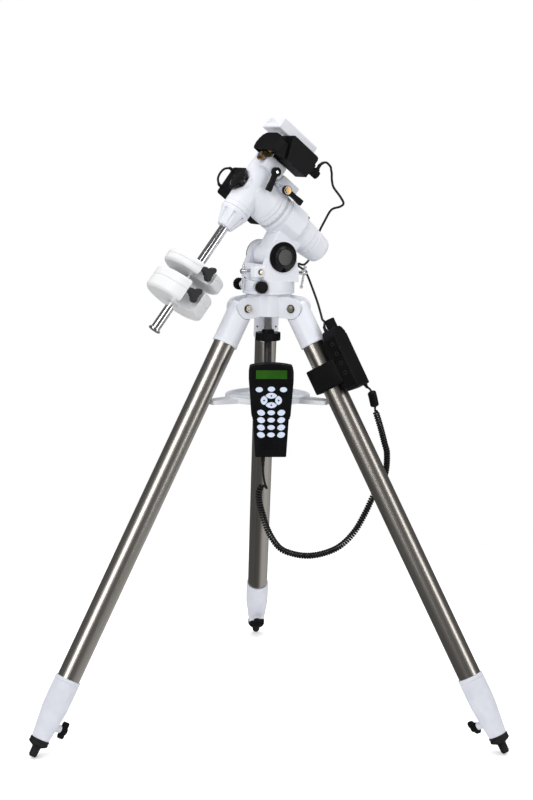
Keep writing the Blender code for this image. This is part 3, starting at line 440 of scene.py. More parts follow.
def combine(base, tools, operation):
    """Boolean the tools into the base, one after another, and keep only the result."""
    for tool in tools:
        step = base.modifiers.new("step", "BOOLEAN")
        step.operation = operation
        step.solver = "EXACT"
        step.object = tool
        view = bpy.context.evaluated_depsgraph_get()
        result = bpy.data.meshes.new_from_object(base.evaluated_get(view))
        base.modifiers.clear()
        base.data = result
        bpy.data.objects.remove(tool, do_unlink=True)
    return base


def join(base, *tools):
    return combine(base, tools, "UNION")


def cut(base, *tools):
    return combine(base, tools, "DIFFERENCE")


def gathered(*solids):
    """Several solids as one piece, without a boolean."""
    bm = bmesh.new()
    for solid in solids:
        bm.from_mesh(solid.data)
        bpy.data.objects.remove(solid, do_unlink=True)
    mesh = bpy.data.meshes.new("group")
    bm.to_mesh(mesh)
    bm.free()
    group = bpy.data.objects.new("group", mesh)
    bpy.context.scene.collection.objects.link(group)
    return group


def finished(name, solid, place, look, sharp=34.0):
    """Put a solid in its frame, name it and give it its material and its shading."""
    solid.name = name
    solid.data.name = name
    solid.data.transform(place)
    solid.data.materials.clear()
    solid.data.materials.append(look)
    solid.data.shade_smooth()
    solid.data.set_sharp_from_angle(angle=radians(sharp))
    even = solid.modifiers.new("even_normals", "WEIGHTED_NORMAL")
    even.keep_sharp = True
    return solid


def show(name, solid, place, look, body, slot, *nodes, sharp=34.0):
    """A finished piece that rides on a body and stands for the CAD nodes named."""
    finished(name, solid, place, look, sharp)
    if nodes:
        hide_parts(*nodes)
    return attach(solid, body)


def lobed_outline(radius, lobes, depth, steps_each=10):
    count = lobes * steps_each
    reach = [radius * (1 - depth / 2 + depth / 2 * cos(2 * pi * k / steps_each)) for k in range(count)]
    return [(r * cos(2 * pi * k / count), r * sin(2 * pi * k / count)) for k, r in enumerate(reach)]


def lobed_knob(radius, low, high, axis, centre, lobes, depth=0.18, edge=0.0012):
    knob = prism(lobed_outline(radius, lobes, depth), low, high, "Z", edge, 3)
    return moved(knob, Matrix.Translation(centre) @ ALONG[axis])


def hex_head(reach, low, high, axis, centre, turn=0.0):
    """Hexagonal bolt head with its corners chamfered by the turning."""
    outline = [(reach * cos(radians(60 * k + turn)), reach * sin(radians(60 * k + turn)))
               for k in range(6)]
    head = prism(outline, low, high, "Z", 0.0004, 2)
    return moved(head, Matrix.Translation(centre) @ ALONG[axis])


def slotted_screw(radius, low, high, axis, centre, width=0.0012):
    """Round screw head with a straight slot."""
    head = turned(eased([(0.0, low), (radius, low), (radius, high), (0.0, high)], radius * 0.25),
                  steps=32)
    slot = block((-radius * 1.2, -width / 2, high - 0.0008), (radius * 1.2, width / 2, high + 0.001))
    return moved(cut(head, slot), Matrix.Translation(centre) @ ALONG[axis])


def tick(low, high, radius, angle, width=0.0005, proud=0.00008):
    """A fine mark along X on a cylinder of that radius about X."""
    mark = block((low, -width / 2, radius - 0.0002), (high, width / 2, radius + proud))
    return moved(mark, Matrix.Rotation(angle, 4, "X"))


# ---- cords ----
def smooth_route(points, spacing):
    """Evenly stepped points on a Catmull-Rom curve through a route."""
    route = [Vector(p) for p in points]
    ends = [2 * route[0] - route[1]] + route + [2 * route[-1] - route[-2]]
    out = []
    for a, b, c, d in zip(ends, ends[1:], ends[2:], ends[3:]):
        steps = max(1, ceil((c - b).length / spacing))
        for k in range(steps):
            t = k / steps
            out.append(0.5 * (2 * b + (c - a) * t + (2 * a - 5 * b + 4 * c - d) * t * t
                              + (3 * b - 3 * c + d - a) * t ** 3))
    return out + [route[-1]]


def carried_frames(line):
    """Two directions across a line at each of its points, without twist."""
    tangent = (line[1] - line[0]).normalized()
    side = tangent.orthogonal().normalized()
    frames = []
    for k in range(len(line)):
        ahead = (line[min(k + 1, len(line) - 1)] - line[max(k - 1, 0)]).normalized()
        side = (side - ahead * side.dot(ahead)).normalized()
        frames.append((side, ahead.cross(side)))
    return frames


def tube_mesh(line, radius, sides=12):
    """A closed tube along a line; radius is a number or a function of the share of its length."""
    bm = bmesh.new()
    rings = []
    last = len(line) - 1
    for k, (spot, (side, other)) in enumerate(zip(line, carried_frames(line))):
        reach = radius(k / last) if callable(radius) else radius
        turn = [2 * pi * n / sides for n in range(sides)]
        rings.append([bm.verts.new(spot + side * reach * cos(t) + other * reach * sin(t))
                      for t in turn])
    for low, high in zip(rings, rings[1:]):
        for k in range(sides):
            n = (k + 1) % sides
            bm.faces.new((low[k], low[n], high[n], high[k]))
    bm.faces.new(rings[0])
    bm.faces.new(rings[-1])
    return from_bmesh(bm)


def line_length(line):
    return sum((b - a).length for a, b in zip(line, line[1:]))


def strain_relief(name, line, start_radius, end_radius, body, slot="black_rubber"):
    """Ribbed, tapering sleeve along the first stretch of a cord."""
    def reach(share):
        taper = start_radius + (end_radius - start_radius) * share
        return taper * (1.0 if round(share * (len(line) - 1)) % 4 < 2 else 0.88)
    sleeve = tube_mesh(line, reach, 16)
    return show(name, sleeve, Matrix.Identity(4), RUBBER, body, slot, sharp=50.0)


def in_world(place, points):
    return [place @ Vector(p) for p in points]


PLUG_END = [(-0.0720, 0.0500, 0.1053), (-0.0715, 0.0500, 0.1180), (-0.0790, 0.0500, 0.1290),
            (-0.0925, 0.0500, 0.1290), (-0.0975, 0.0500, 0.1250)]
UPPER = [(-0.1028, 0.0500, 0.1207), (-0.1120, 0.0490, 0.1110), (-0.1260, 0.0450, 0.1040),
         (-0.1520, 0.0400, 0.1010), (-0.1720, 0.0300, 0.0990), (-0.1760, 0.0180, 0.0930),
         (-0.1720, 0.0020, 0.0810), (-0.1850, -0.0200, 0.0610), (-0.1990, -0.0400, 0.0420),
         (-0.2130, -0.0500, 0.0150), (-0.2200, -0.0500, -0.0080), (-0.2180, -0.0500, -0.0250),
         (-0.2120, -0.0500, -0.0305), (-0.2060, -0.0500, -0.0325)]
MIDDLE = [(0.0640, 0.0740, 0.9100), (0.0740, 0.0590, 0.9030), (0.0810, 0.0480, 0.8920),
          (0.0900, 0.0300, 0.8681)]
LOWER = [(0.0985, 0.0100, 0.8433), (0.1040, -0.0120, 0.8220), (0.1055, -0.0360, 0.8130),
         (0.1080, -0.0560, 0.8110)]
BOX_ENTRY = [(0.0420, -0.0100, -0.0620), (0.0420, -0.0100, -0.0697)]
RA_LOOP = [(0.0203, -0.0780, 0.0290), (0.0265, -0.0782, 0.0290), (0.0350, -0.0795, 0.0210),
           (0.0375, -0.0800, 0.0090), (0.0350, -0.0795, -0.0030), (0.0265, -0.0782, -0.0110),
           (0.0203, -0.0780, -0.0110)]
LEAD = [(0.0550, 0.0210, -0.1953), (0.0552, 0.0212, -0.2000)]
BEAD = [(0.1993, -0.0850, 0.6780), (0.2074, -0.0830, 0.6475)]
START_CURL = (0.2085, -0.0820, 0.6400)
CURL = [(0.2204, -0.0760, 0.6034), (0.2304, -0.0680, 0.5686), (0.2353, -0.0630, 0.5507),
        (0.2357, -0.0520, 0.5150), (0.2288, -0.0450, 0.4880), (0.2111, -0.0420, 0.4564),
        (0.1973, -0.0450, 0.4266), (0.1740, -0.0550, 0.3883), (0.1443, -0.0700, 0.3628),
        (0.1107, -0.0850, 0.3520), (0.0772, -0.0980, 0.3504), (0.0443, -0.1080, 0.3582),
        (0.0198, -0.1140, 0.3724), (-0.0008, -0.1180, 0.4043), (-0.0132, -0.1180, 0.4411),
        (-0.0202, -0.1160, 0.4693), (-0.0193, -0.1140, 0.4872), (-0.0111, -0.1100, 0.4953)]
TAIL = [(-0.0045, -0.1075, 0.4890), (-0.0091, -0.1070, 0.5020), (-0.0122, -0.1080, 0.5244),
        (-0.0125, -0.1080, 0.5537)]


def drive_cable(name, line, nodes):
    """A stretch of the drive cable between two bodies, fixed where it is drawn."""
    cable = finished(name, tube_mesh(line, CORD_RADIUS), Matrix.Identity(4), CABLE)
    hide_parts(*nodes)
    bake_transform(cable)
    return cable


def make_drive_cables():
    top = in_world(POLAR, PLUG_END + UPPER)
    middle = in_world(TRIPOD, MIDDLE)
    lower = in_world(TRIPOD, LOWER) + in_world(LEGS["right"], BOX_ENTRY)
    route = smooth_route(top + middle + lower, 0.0022)
    first_end = min(range(len(route)), key=lambda k: (route[k] - top[-1]).length)
    second_end = min(range(len(route)), key=lambda k: (route[k] - middle[-1]).length)
    plug_sleeve = strain_relief("dec_plug_sleeve", route[:12], 0.0042, 0.0026, "ra")
    drive_cable("dec_cable_top", route[:first_end + 1], ["dec_cable_plug_end", "dec_cable_upper"])
    drive_cable("dec_cable_fork", route[first_end:second_end + 1], ["dec_cable_lower"])
    box_sleeve = strain_relief("dec_box_sleeve", route[:-9:-1], 0.0040, 0.0026, "tripod")
    drive_cable("dec_cable_leg", route[second_end:], ["dec_cable_lower"])


def make_ra_cable():
    line = smooth_route(in_world(POLAR, RA_LOOP), 0.0018)
    sleeves = [strain_relief("ra_cable_sleeve_top", line[:8], 0.0040, 0.0026, "ra"),
               strain_relief("ra_cable_sleeve_bottom", line[:-9:-1], 0.0040, 0.0026, "ra")]
    cable = show("ra_drive_cable", tube_mesh(line, CORD_RADIUS), Matrix.Identity(4), CABLE, "ra",
                 "black_rubber", "ra_cable")


def curled(line, radius, pitch, fade=0.005, steps=18):
    """A helix of that radius wound about a line, growing from nothing at each end."""
    total = line_length(line)
    frames = carried_frames(line)
    turns = total / pitch
    count = ceil(turns * steps)
    out = []
    at, passed = 0, 0.0
    for k in range(count + 1):
        want = total * k / count
        while at < len(line) - 2 and passed + (line[at + 1] - line[at]).length < want:
            passed += (line[at + 1] - line[at]).length
            at += 1
        share = (want - passed) / max((line[at + 1] - line[at]).length, 1e-9)
        spot = line[at].lerp(line[at + 1], min(1.0, share))
        side, other = frames[at]
        grown = radius * min(1.0, want / fade, (total - want) / fade)
        angle = 2 * pi * turns * k / count
        out.append(spot + side * grown * cos(angle) + other * grown * sin(angle))
    return out


def make_handset_cord():
    start = in_world(LEGS["right"], LEAD) + in_world(TRIPOD, BEAD + [START_CURL])
    coil = in_world(TRIPOD, CURL)
    end = in_world(TRIPOD, TAIL)
    route = smooth_route(start + coil + end, 0.002)

    def nearest(spot):
        return min(range(len(route)), key=lambda k: (route[k] - spot).length)

    first, last = nearest(start[-1]), nearest(coil[-1])
    helix = curled(route[first:last + 1], CURL_RADIUS - LEAD_RADIUS, CURL_PITCH)
    line = route[:first] + helix + route[last + 1:]
    bead_line = route[nearest(start[2]):nearest(start[3]) + 1]
    bead_low = len(bead_line) - 1

    def bead_reach(share):
        step = min(share, 1.0 - share) * bead_low
        return BEAD_RADIUS * (0.55 if step < 1 else 0.85 if step < 2 else 1.0)

    bead = show("ferrite_bead", tube_mesh(bead_line, bead_reach, 32), Matrix.Identity(4), BLACK,
                "tripod", "black_rubber", sharp=50.0)
    sleeves = [strain_relief("handset_cord_sleeve", route[:-13:-1], 0.0046, 0.0026, "tripod"),
               strain_relief("control_box_sleeve", route[:6], 0.0044, 0.0028, "tripod")]
    cord = show("handset_curly_cord", tube_mesh(line, LEAD_RADIUS, 10), Matrix.Identity(4), CABLE,
                "tripod", "black_rubber", "handset_cord", sharp=60.0)


make_drive_cables()
make_ra_cable()
make_handset_cord()


# ---- tripod ----
def leg_head_solid():
    """Socket for the tube, with a tongue between the hub's ears and a shoulder outside them."""
    outer = TUBE_RADIUS + 0.0033
    socket = turned(eased([(0.0, -HEAD_LENGTH), (outer, -HEAD_LENGTH), (outer, -HEAD_LENGTH + 0.006),
                           (outer - 0.0006, -HEAD_LENGTH + 0.0068), (outer - 0.0006, 0.0),
                           (outer - 0.004, 0.006), (0.0, 0.006)], 0.0012), steps=72)
    level = Matrix.Rotation(abs(LEG_TILT), 4, "Y")
    ear_room = [(-0.070, -0.0215)] + arc((0.0, 0.0), 0.0215, -88, 88, 24) + [(-0.070, 0.0215)]
    for low, high in ((-0.040, -TONGUE / 2), (TONGUE / 2, 0.040)):
        cut(socket, moved(prism(ear_room, low, high), level))
    cut(socket, moved(block((-0.080, -0.030, -0.045), (-0.0152, 0.030, 0.070)), level))
    return cut(socket, rod(TUBE_RADIUS + GAP, -HEAD_LENGTH - 0.01, -0.030, steps=64))


def leg_clamp_solid():
    """Tapering lower casting with a rolled upper rim and a boss for its locking screw."""
    start, end = -CLAMP_START, -CLAMP_END
    profile = [(0.0, end), (0.0176, end), (0.0180, end + 0.004), (0.0222, end + 0.040),
               (0.0246, end + 0.062), (0.0252, start - 0.040), (0.0250, start - 0.010),
               (0.0243, start - 0.009), (0.0243, start - 0.0075), (0.0252, start - 0.0065),
               (0.0250, start), (0.0, start)]
    body = turned(eased(profile, 0.0010), steps=72)
    boss = rod(0.0075, -0.031, -0.012, "X", (0.0, 0.0, -LOCK_DISTANCE), 40, 0.0008)
    tube_bore = rod(TUBE_RADIUS + GAP, -0.862, start + 0.01, steps=64)
    return cut(join(body, boss), tube_bore)


def wing_knob_solid(turn):
    """Two-wing knob, screwed round by some degrees, with thick tips and a pinched middle."""
    outline = eased([(-0.0060, -0.0070), (-0.0035, -0.0105), (-0.0055, -0.0165), (0.0055, -0.0165),
                     (0.0035, -0.0105), (0.0060, -0.0070), (0.0060, 0.0070), (0.0035, 0.0105),
                     (0.0055, 0.0165), (-0.0055, 0.0165), (-0.0035, 0.0105), (-0.0060, 0.0070)],
                    0.0028, 4, closed=True)
    wings = prism(outline, -0.0434, -0.0336, "X", 0.0014, 3)
    moved(wings, Matrix.Rotation(radians(turn), 4, "X"))
    hub = rod(0.0085, -0.0440, -0.0316, "X", steps=40, edge=0.0012)
    return join(wings, hub)


def foot_solid():
    """Rubber foot with moulded ribs and a rounded tip."""
    end = -LEG_LENGTH
    collar = -CLAMP_END - GAP
    profile = [(0.0, end), (FOOT_TIP_RADIUS - 0.001, end), (FOOT_TIP_RADIUS, end + 0.0012)]
    for k in range(3):
        low = end + 0.0030 + 0.0050 * k
        profile += [(0.0074 + 0.0004 * k, low), (0.0082, low + 0.0012), (0.0082, low + 0.0030)]
    profile += [(0.0088, end + 0.0200), (0.0165, collar - 0.0120), (0.0190, collar - 0.0100),
                (0.0190, collar - 0.0062), (0.0182, collar - 0.0056), (0.0182, collar - 0.0046),
                (0.0190, collar - 0.0040), (0.0190, collar), (0.0, collar)]
    return turned(eased(profile, 0.0008), steps=64)


def make_leg(side):
    place = LEGS[side]
    show(f"{side}_leg_head", leg_head_solid(), place, WHITE, "tripod", "white_paint",
         f"leg_head_{side}")
    ring = [(TUBE_RADIUS - TUBE_WALL, -0.860), (TUBE_RADIUS, -0.860), (TUBE_RADIUS, -0.0303),
            (TUBE_RADIUS - TUBE_WALL, -0.0303)]
    show(f"{side}_leg_tube", turned(ring, steps=128), place, TUBE, "tripod", "brushed_steel",
         f"leg_tube_{side}")
    # The clamp's grey is painted shade on its white paint.
    show(f"{side}_leg_clamp", leg_clamp_solid(), place, CAST_PAINTED_SHADE, "tripod", "white_paint",
         f"leg_clamp_{side}")
    slide = f"leg_slide_{side}"
    inner = [(EXTENSION_RADIUS - TUBE_WALL, -CLAMP_END), (EXTENSION_RADIUS, -CLAMP_END),
             (EXTENSION_RADIUS, -0.470), (EXTENSION_RADIUS - TUBE_WALL, -0.470)]
    show(f"{side}_leg_extension", turned(inner, steps=96), place, TUBE, slide, "brushed_steel",
         f"leg_extension_{side}")
    show(f"{side}_foot", foot_solid(), place, RUBBER, slide, "black_rubber", f"foot_{side}")
    spot = place @ Matrix.Translation((0.0, 0.0, -LOCK_DISTANCE))
    screw = f"leg_lock_screw_{side}"
    show(f"{side}_lock_knob", wing_knob_solid(WING_TURNS[side]), spot, BLACK, screw,
         "black_plastic", screw)
    show(f"{side}_lock_stem", rod(0.0036, -0.0330, -EXTENSION_RADIUS - GAP, "X", steps=32), spot,
         STEEL, screw, "machined_steel")


def make_leg_bolt(side):
    """Bolt through the ears: washers, a hex head one way, a nut and the bolt's end the other."""
    turn = TRIPOD @ Matrix.Rotation(radians(LEG_ANGLES[side]), 4, "Z")
    outer = TONGUE / 2 + GAP + EAR
    middle = (HINGE_RADIUS, 0.0, HINGE_HEIGHT)
    washers, heads, tips = [], [], []
    for way in (-1, 1):
        face, seat = way * outer, way * (outer + 0.0010)
        washers.append(rod(0.0084, min(face, seat), max(face, seat), "Y", middle, 48, 0.0003))
        top = way * (outer + 0.0056)
        heads.append(hex_head(0.0071, min(seat, top), max(seat, top), "Y", middle, 12 * way))
        tip = way * (outer + 0.0068)
        tips.append(rod(0.0038, min(top, tip), max(top, tip), "Y", middle, 32, 0.0005))
    show(f"{side}_leg_washers", gathered(*washers), turn, DARK_STEEL, "tripod", "machined_steel")
    show(f"{side}_leg_bolt", gathered(*heads), turn, NICKEL, "tripod", "machined_steel")
    show(f"{side}_leg_bolt_ends", gathered(*tips), turn, STEEL, "tripod", "machined_steel")


def hub_solid():
    """Hexagonal hub with three pairs of round-ended ears, a rod hole and the azimuth peg."""
    corner = HUB_FACE / cos(radians(30))
    outline = eased([(corner * cos(radians(30 + 60 * k)), corner * sin(radians(30 + 60 * k)))
                     for k in range(6)], 0.006, 6, closed=True)
    hub = prism(outline, HUB_BOTTOM, HUB_TOP, "Z", 0.0012)
    middle = HINGE_HEIGHT
    for angle in LEG_ANGLES.values():
        turn = Matrix.Rotation(radians(angle), 4, "Z")
        for side in (-1, 1):
            low = TONGUE / 2 + GAP if side > 0 else -TONGUE / 2 - GAP - EAR
            ear = [(0.030, middle - EAR_RADIUS + 0.002), (HINGE_RADIUS, middle - EAR_RADIUS)]
            ear += arc((HINGE_RADIUS, middle), EAR_RADIUS, -80, 80, 28)
            ear += [(HINGE_RADIUS, middle + EAR_RADIUS), (0.030, HUB_TOP - 0.002)]
            join(hub, moved(prism(ear, low, low + EAR, "Y", 0.0010), turn))
        slot = block((0.0455, -TONGUE / 2 - GAP, 0.80), (0.090, TONGUE / 2 + GAP, 0.88))
        cut(hub, moved(slot, turn))
    return cut(hub, rod(ROD_HOLE, 0.80, 0.88, steps=48))


def make_head_screws():
    """Two small black set screws in the inner face of the rear leg's head."""
    screws = [rod(0.0015, -0.0188, -0.0160, "X", (0.0, y, -0.0460), 24, 0.0003)
              for y in (-0.0189, 0.0189)]
    show("rear_head_screws", gathered(*screws), LEGS["rear"], BLACK, "tripod", "black_plastic")


def make_hub():
    show("hub_casting", hub_solid(), TRIPOD, WHITE, "tripod", "white_paint", "tripod_hub")
    show("azimuth_peg", rod(0.005, HUB_TOP - 0.002, 0.880, centre=(PEG_NORTH, 0.0, 0.0), steps=32,
                            edge=0.0008), NORTH, STEEL, "tripod", "machined_steel")


def make_clamp_rod():
    knob = lobed_knob(0.0250, 0.7680, 0.7835, "Z", (0.0, 0.0, 0.0), 20, 0.06, 0.0016)
    collar = turned(eased([(0.0, 0.7830), (0.0125, 0.7830), (0.0120, 0.7890), (0.0085, 0.7900),
                           (0.0, 0.7900)], 0.0008), steps=48)
    show("clamp_knob", gathered(knob, collar), TRIPOD, BLACK, "clamp_rod", "black_plastic",
         "clamp_rod")
    show("clamp_rod_upper", threaded_rod(ROD_RADIUS, 0.7895, 0.8840), TRIPOD, STEEL, "clamp_rod",
         "machined_steel")
    show("clamp_rod_lower", threaded_rod(ROD_RADIUS, 0.6220, 0.7685), TRIPOD, DARK_STEEL,
         "clamp_rod", "machined_steel")


def threaded_rod(radius, low, high, pitch=0.0018, depth=0.0005, axis="Z", steps=48):
    """A rod with ring grooves at a screw thread's pitch."""
    count = int((high - low) / pitch)
    profile = [(0.0, low)]
    for k in range(count):
        profile += [(radius - depth, low + pitch * k), (radius, low + pitch * (k + 0.5))]
    return turned(profile + [(radius - depth, high), (0.0, high)], axis, steps=steps)


def tray_solid():
    """Dished round tray with a raised rim, ribs and three arms to the legs."""
    bottom = TRAY_BOTTOM
    dish = turned(eased([(0.0, bottom), (0.079, bottom), (0.085, bottom + 0.003),
                         (0.085, bottom + 0.012), (0.0, bottom + 0.012)], 0.0014), steps=128)
    for angle in LEG_ANGLES.values():
        arm = eased([(0.030, -0.030), (0.100, -0.019), (0.1345, -0.014), (0.1345, 0.014),
                     (0.100, 0.019), (0.030, 0.030)], 0.004, 4, closed=True)
        arm = prism(arm, bottom + 0.0010, bottom + 0.0095, "Z", 0.0010)
        join(dish, moved(arm, Matrix.Rotation(radians(angle), 4, "Z")))
    inside = turned(eased([(0.016, bottom + 0.0040), (0.0775, bottom + 0.0040),
                           (0.0805, bottom + 0.020), (0.016, bottom + 0.020)], 0.0015,
                          closed=True), steps=128)
    cut(dish, inside)
    for k in range(6):
        rib = block((0.014, -0.0008, bottom + 0.0035), (0.078, 0.0008, bottom + 0.0065))
        join(dish, moved(rib, Matrix.Rotation(radians(60 * k + 30.5), 4, "Z")))
    return cut(dish, rod(ROD_HOLE, 0.62, 0.70, steps=48))


def make_tray():
    show("tray_dish", tray_solid(), TRIPOD, TRAY, "tripod", "tray_plastic", "accessory_tray")
    top = TRAY_BOTTOM - GAP
    nut = lobed_knob(0.0190, top - 0.014, top - 0.003, "Z", (0.0, 0.0, 0.0), 5, 0.28, 0.0018)
    flange = turned(eased([(0.0, top - 0.004), (0.0135, top - 0.004), (0.0135, top), (0.0, top)],
                          0.0005), steps=48)
    nut = cut(join(nut, flange), rod(ROD_HOLE, 0.60, 0.68, steps=48))
    show("tray_knob", nut, TRIPOD, BLACK, "tray_nut", "black_plastic", "tray_nut")


for side in LEG_ANGLES:
    make_leg(side)
    make_leg_bolt(side)
make_head_screws()
make_hub()
make_clamp_rod()
make_tray()


# ---- azimuth base and altitude adjustment ----
def azimuth_base_solid():
    """Round base with a fork of two cheeks, two cross walls and bosses for the azimuth screws."""
    low = HUB_TOP + GAP
    base = turned(eased([(0.0, low), (BASE_RADIUS, low), (BASE_RADIUS, low + 0.0045),
                         (BASE_RADIUS - 0.0007, low + 0.0050), (BASE_RADIUS - 0.0007, low + 0.0058),
                         (BASE_RADIUS, low + 0.0063), (BASE_RADIUS, BASE_TOP), (0.0, BASE_TOP)],
                        0.0016), steps=128)
    pivot = (PIVOT.x, PIVOT.z)
    cheek = [(-0.043, BASE_TOP - 0.003), (0.036, BASE_TOP - 0.003), (0.036, 0.912)]
    cheek += arc(pivot, CHEEK_RADIUS, -5, 185, 48) + [(-0.043, 0.905)]
    for side in (-1, 1):
        inner, outer = side * CHEEK_INNER, side * CHEEK_OUTER
        join(base, prism(cheek, min(inner, outer), max(inner, outer), "Y", 0.0012))
    north_wall = block((0.024, -0.042, BASE_TOP - 0.003), (0.0355, 0.042, 0.921), 0.001)
    south_wall = block((-0.0425, -0.042, BASE_TOP - 0.003), (-0.032, 0.042, 0.9135), 0.001)
    lock_boss = block((0.030, 0.026, 0.8965), (0.056, CHEEK_OUTER - 0.0005, 0.9195), 0.003)
    join(base, north_wall, south_wall, lock_boss)
    for side in (-1, 1):
        near, far = side * 0.012, side * 0.0280
        boss = rod(0.0095, min(near, far), max(near, far), "Y", (PEG_NORTH, 0.0, SCREW_HEIGHT), 48)
        join(base, boss)
        near, far = side * 0.0283, side * 0.070
        cut(base, rod(0.0155, min(near, far), max(near, far), "Y", (PEG_NORTH, 0.0, SCREW_HEIGHT), 60))
    cut(base, block((PEG_NORTH - 0.0055, -0.0115, 0.85), (PEG_NORTH + 0.0055, 0.0115, 0.883)))
    cut(base, block((0.0490, -0.0080, 0.870), (0.060, 0.0080, 0.95)))
    cut(base, rod(0.0040 + GAP, -0.060, 0.060, "Y", (PEG_NORTH, 0.0, SCREW_HEIGHT), 32))
    return cut(base, rod(ROD_HOLE, 0.85, 0.885, steps=48))


def make_azimuth_screw(name, way):
    spot = NORTH @ Matrix.Translation((PEG_NORTH, 0.0, SCREW_HEIGHT))
    if way < 0:
        spot = spot @ Matrix.Rotation(pi, 4, "Z")
    body = f"azimuth_screw_{name}"
    knob = lobed_knob(0.0119, 0.0405, 0.0500, "Y", (0.0, 0.0, 0.0), 18, 0.05, 0.0018)
    cap = rod(0.0080, 0.0490, 0.0508, "Y", steps=40, edge=0.0010)
    show(f"azimuth_knob_{name}", gathered(knob, cap), spot, BLACK, body, "black_plastic", body)
    show(f"azimuth_stem_{name}", threaded_rod(0.0040, 0.0060, 0.0410, 0.0010, 0.0003, "Y", 32),
         spot, STEEL, body, "machined_steel")


def altitude_disc():
    """Bevelled round cap with a raised middle and a turned ring, on the cheek's face."""
    low, high = CHEEK_OUTER + GAP, CHEEK_OUTER + 0.011
    profile = [(0.0, low), (0.0300, low), (0.0300, low + 0.0030), (0.0210, high - 0.003),
               (0.0200, high - 0.003), (0.0195, high - 0.0036), (0.0185, high - 0.0036),
               (0.0180, high - 0.003), (0.0170, high - 0.003), (0.0160, high), (0.0, high)]
    return turned(eased(profile, 0.0007), "Y", steps=96)


def make_altitude_caps():
    spot = NORTH @ Matrix.Translation((PIVOT.x, 0.0, PIVOT.z))
    show("altitude_cap_near", altitude_disc(), spot, GLOSS, "azimuth", "gloss_black",
         "altitude_bolt")
    show("altitude_cap_far", altitude_disc(), spot @ Matrix.Rotation(pi, 4, "Z"), GLOSS, "azimuth",
         "gloss_black", "altitude_cap")
    show("altitude_axle", rod(0.006, -CHEEK_OUTER, CHEEK_OUTER, "Y", steps=48), spot, STEEL,
         "azimuth", "gloss_black")
    lock = (0.0430, 0.0, 0.9080)
    washer = rod(0.0058, 0.0453, 0.0461, "Y", lock, 40, 0.0002)
    show("altitude_lock_washer", washer, NORTH, DARK_STEEL, "azimuth", "machined_steel")
    show("altitude_lock_screw", hex_head(0.0046, 0.0461, 0.0496, "Y", lock, 10), NORTH, NICKEL,
         "azimuth", "machined_steel")


def make_latitude_bolt(name, tip, end, height, lean):
    """Threaded bolt with a hub and a leaning cross bar that has ball ends."""
    way = 1 if end > tip else -1
    body = f"latitude_bolt_{name}"
    stem = threaded_rod(0.0040, min(tip, end), max(tip, end), 0.0012, 0.0003, "X", 32)
    hub = turned(eased([(0.0, -0.0060), (0.0040, -0.0060), (0.0055, -0.0045), (0.0055, 0.0045),
                        (0.0040, 0.0060), (0.0, 0.0060)], 0.0012), "X", (end, 0.0, 0.0), 48)
    bar = rod(0.0021, -0.0300, 0.0105, "Z", steps=32)
    balls = [turned([(0.0033 * sin(pi * k / 12), h - 0.0033 * cos(pi * k / 12)) for k in range(13)],
                    steps=32) for h in (-0.0297, 0.0102)]
    turn = Matrix.Rotation(radians(way * lean), 4, "Y") @ Matrix.Rotation(radians(15), 4, "Z")
    handle = moved(gathered(bar, *balls), Matrix.Translation((end, 0.0, 0.0)) @ turn)
    show(f"{name}_t_bolt", gathered(stem, hub, handle), NORTH @ Matrix.Translation((0.0, 0.0, height)),
         CHROME, body, "chrome", body)


show("fork_base", azimuth_base_solid(), NORTH, WHITE, "azimuth", "white_paint", "azimuth_base")
make_azimuth_screw("near", 1)
make_azimuth_screw("far", -1)
make_altitude_caps()
make_latitude_bolt("north", PIVOT.x + BOLT_TIP, 0.0565, 0.9070, -8)
make_latitude_bolt("south", PIVOT.x - BOLT_TIP, -0.0820, 0.9000, 12)


# ---- polar housing ----
def ra_housing_solid():
    """Fixed polar housing: stepped tube with a setting ring, flat-sided middle, altitude boss."""
    profile = [(0.0, CAP_SEAM), (0.0315, CAP_SEAM), (0.0325, -0.140), (0.0345, -0.130),
               (0.0365, -0.082), (0.0390, -0.078), (0.0390, -0.0735), (0.0384, -0.0730),
               (0.0384, -0.0722), (0.0390, -0.0717), (0.0390, RA_SEAM - GAP),
               (0.0, RA_SEAM - GAP)]
    body = turned(eased(profile, 0.0008), "X", steps=128)
    flats = eased([(0.0405 * cos(radians(22.5 + 45 * k)), 0.0405 * sin(radians(22.5 + 45 * k)))
                   for k in range(8)], 0.003, 4, closed=True)
    pivot = Vector((-PIVOT_TO_RA.x, 0.0, -PIVOT_TO_RA.z))
    boss = rod(0.0245, -CHEEK_INNER + 0.0005, CHEEK_INNER - 0.0005, "Y", pivot, 72, 0.001)
    neck = prism([(-0.145, -0.070), (-0.095, -0.068), (-0.089, -0.020), (-0.150, -0.018)],
                 -0.024, 0.024, "Y", 0.003, 3)
    tab = block((-0.0090, -0.0095, -0.0425), (0.0090, 0.0095, -0.010), 0.001)
    tilt = Vector(JOINTS["ra"]["axis"]).normalized()
    latitude = atan2(tilt.z, sqrt(tilt.x ** 2 + tilt.y ** 2))
    upright = Matrix.Translation(pivot) @ Matrix.Rotation(latitude, 4, "Y")
    return join(body, prism(flats, -0.127, -0.085, "X", 0.001), boss, neck, moved(tab, upright))


def make_ra_housing():
    show("polar_housing", ra_housing_solid(), POLAR, WHITE, "altitude", "white_paint", "ra_housing")
    ticks = [tick(-0.0712, -0.0655 if k % 6 else -0.0630, 0.0390, 2 * pi * k / 144)
             for k in range(144)]
    show("setting_marks", gathered(*ticks), POLAR, INK, "altitude", "black_plastic")
    screw = slotted_screw(0.0042, 0.0325, 0.0385, "Z", (-0.139, 0.0, 0.0))
    show("housing_thumbscrew", screw, POLAR, STEEL, "altitude", "machined_steel")


